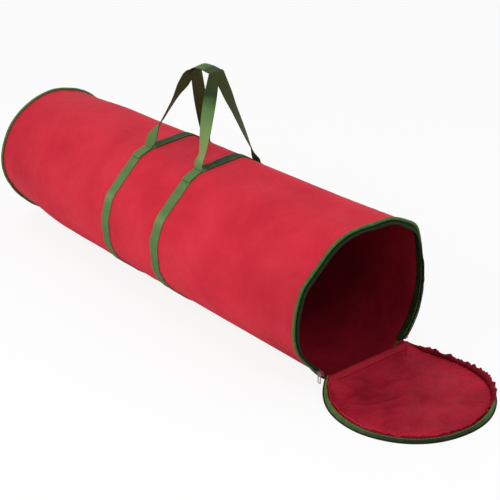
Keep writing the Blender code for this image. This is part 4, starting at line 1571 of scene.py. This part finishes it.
@dataclass(frozen=True)
class Studio:
    """A pale floor, soft lamps and the camera."""

    lamps: tuple[Lamp, ...] = (Lamp("key_lamp", (0.2, -2.4, 1.7), (0.0, 0.0, 0.1), 1.8, 27.5),
                               Lamp("fill_lamp", (2.6, 0.4, 1.7), (0.2, 0.0, 0.1), 2.0, 13.0),
                               Lamp("top_lamp", (-0.2, 0.4, 2.8), (0.0, 0.0, 0.1), 2.4, 12.0))
    camera_place: Place = (1.8017, -1.3070, 1.0609)
    camera_right: Place = (0.6339, 0.7734, -0.0055)
    camera_up: Place = (-0.3172, 0.2665, 0.9102)
    lens: float = 84.73
    sensor: float = 36.0
    floor_size: float = 12.0
    sky: float = 0.61
    seen_floor: float = 0.87

    def build(self) -> None:
        """Builds the floor, the lamps, the world and the camera."""
        self._floor()
        for lamp in self.lamps:
            self._hang(lamp)
        self._world()
        self._camera()

    def _floor(self) -> None:
        """The plain pale floor, which keeps the bag's shadow."""
        half = self.floor_size / 2
        mesh = bpy.data.meshes.new("floor")
        mesh.from_pydata([(-half, -half, 0), (half, -half, 0), (half, half, 0), (-half, half, 0)], [],
                         [(0, 1, 2, 3)])
        p = Painter("pale_floor")
        p.set(Base_Color=linear("#F6F6F5"), Roughness=0.9, Specular_IOR_Level=0.1)
        white = add_node(p.tree, "ShaderNodeEmission", inputs={"Color": WHITE, "Strength": 1.0})
        seen = maths(p.tree, "MULTIPLY", add_node(p.tree, "ShaderNodeLightPath").outputs["Is Camera Ray"],
                     self.seen_floor)
        mix = add_node(p.tree, "ShaderNodeMixShader", inputs={0: seen, 1: p.shader.outputs[0], 2: white.outputs[0]})
        p.tree.links.new(mix.outputs[0], p.tree.nodes["Material Output"].inputs["Surface"])
        dress(place_object("floor", mesh), p.material)

    @staticmethod
    def _hang(lamp: Lamp) -> None:
        """Puts up one lamp, a soft disk."""
        data = bpy.data.lights.new(lamp.name, "AREA")
        data.shape = "DISK"
        data.size = lamp.size
        data.energy = lamp.power
        made = place_object(lamp.name, data)
        made.location = lamp.place
        made.rotation_euler = (Vector(lamp.target) - Vector(lamp.place)).to_track_quat("-Z", "Y").to_euler()

    def _world(self) -> None:
        """A soft even sky that the camera and the metal see as white."""
        world = bpy.data.worlds.new("studio")
        bpy.context.scene.world = world
        world.use_nodes = True
        tree = world.node_tree
        tree.nodes.clear()
        path = add_node(tree, "ShaderNodeLightPath")
        seen = maths(tree, "MAXIMUM", path.outputs["Is Camera Ray"], path.outputs["Is Glossy Ray"])
        soft = add_node(tree, "ShaderNodeBackground", inputs={"Color": WHITE, "Strength": self.sky})
        white = add_node(tree, "ShaderNodeBackground", inputs={"Color": WHITE, "Strength": 1.0})
        mix = add_node(tree, "ShaderNodeMixShader", inputs={0: seen, 1: soft.outputs[0], 2: white.outputs[0]})
        add_node(tree, "ShaderNodeOutputWorld", inputs={"Surface": mix.outputs[0]})

    def _camera(self) -> None:
        """The camera, as fitted to the bag's outline."""
        right, up = Vector(self.camera_right).normalized(), Vector(self.camera_up).normalized()
        back = right.cross(up).normalized()
        up = back.cross(right)
        matrix = Matrix((right, up, back)).transposed().to_4x4()
        matrix.translation = self.camera_place
        data = bpy.data.cameras.new("camera")
        data.lens = self.lens
        data.sensor_width = self.sensor
        camera = place_object("camera", data)
        camera.matrix_world = matrix
        bpy.context.scene.camera = camera


NEAR_FIT = HandleFit(sewn_round=0.0524, apart=-0.0083, tilt=math.radians(10), lift=0.0,
                     rear_turns=((0, 0), (0.03, -16), (0.08, -11), (0.16, 16), (0.29, 56), (0.42, 60), (0.52, 64.5),
                                 (0.61, 70), (0.68, 79), (0.81, 108), (0.93, 112), (1, 94)),
                     front_turns=((0, 0), (0.06, -12), (0.12, -10), (0.23, 4), (0.41, 26), (0.69, 52), (0.87, 78),
                                  (1, 90)),
                     front_bow=0.006,
                     outer=((-1, 0.52), (0, 0.52), (0.12, 0.55), (0.3, 0.4), (1.0, 0.36), (1.3, 0.45), (1.6, 0.40),
                            (1.82, 0.06), (1.98, 0.06), (2.08, 0.10), (2.2, 0.20), (2.35, 0.45), (2.6, 0.72),
                            (2.95, 0.95), (3.02, 0.55), (4, 0.52)),
                     inner=((-1, 0.2), (0.2, 0.1), (0.5, 0.0), (1.0, 0.06), (1.4, 0.3), (1.8, 0.0), (3, 0.1)))
FAR_FIT = HandleFit(sewn_round=0.0956, apart=-0.0083, tilt=math.radians(-10), lift=-0.0032,
                    rear_turns=((0, 0), (1, 90)),
                    front_turns=((0, 0), (0.10, 29), (0.27, 43), (0.37, 49), (0.62, 61), (0.76, 78), (1, 90)),
                    front_bow=0.0,
                    outer=((-1, 0.5), (0.2, 0.4), (1.0, 0.3), (1.3, 0.55), (1.6, 0.5), (1.85, 0.06), (2.05, 0.07),
                           (2.5, 0.09), (3.0, 0.05), (4, 0.4)),
                    inner=((-1, 0.2), (0.3, 0.10), (0.8, 0.05), (1.0, 0.0), (1.5, 0.1), (3, 0.0), (4, 0.0)))


def main() -> None:
    """Builds every piece in order."""
    logging.basicConfig(level=logging.INFO, format="%(message)s")
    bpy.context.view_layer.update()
    bpy.context.scene.view_settings.view_transform = "Standard"
    palette = Palette()
    for name, work in (("studio", Studio()), ("tube", FabricTube(SHAPE, palette)), ("trim", Trim(SHAPE, palette)),
                       ("near handle", Handle(Side.NEAR, NEAR_FIT, SHAPE, palette)),
                       ("far handle", Handle(Side.FAR, FAR_FIT, SHAPE, palette)),
                       ("mouth zip", MouthZip(SHAPE, palette)), ("lid", Lid(palette))):
        work.build()
        LOG.info("built the %s", name)


if __name__ == "__main__":
    main()
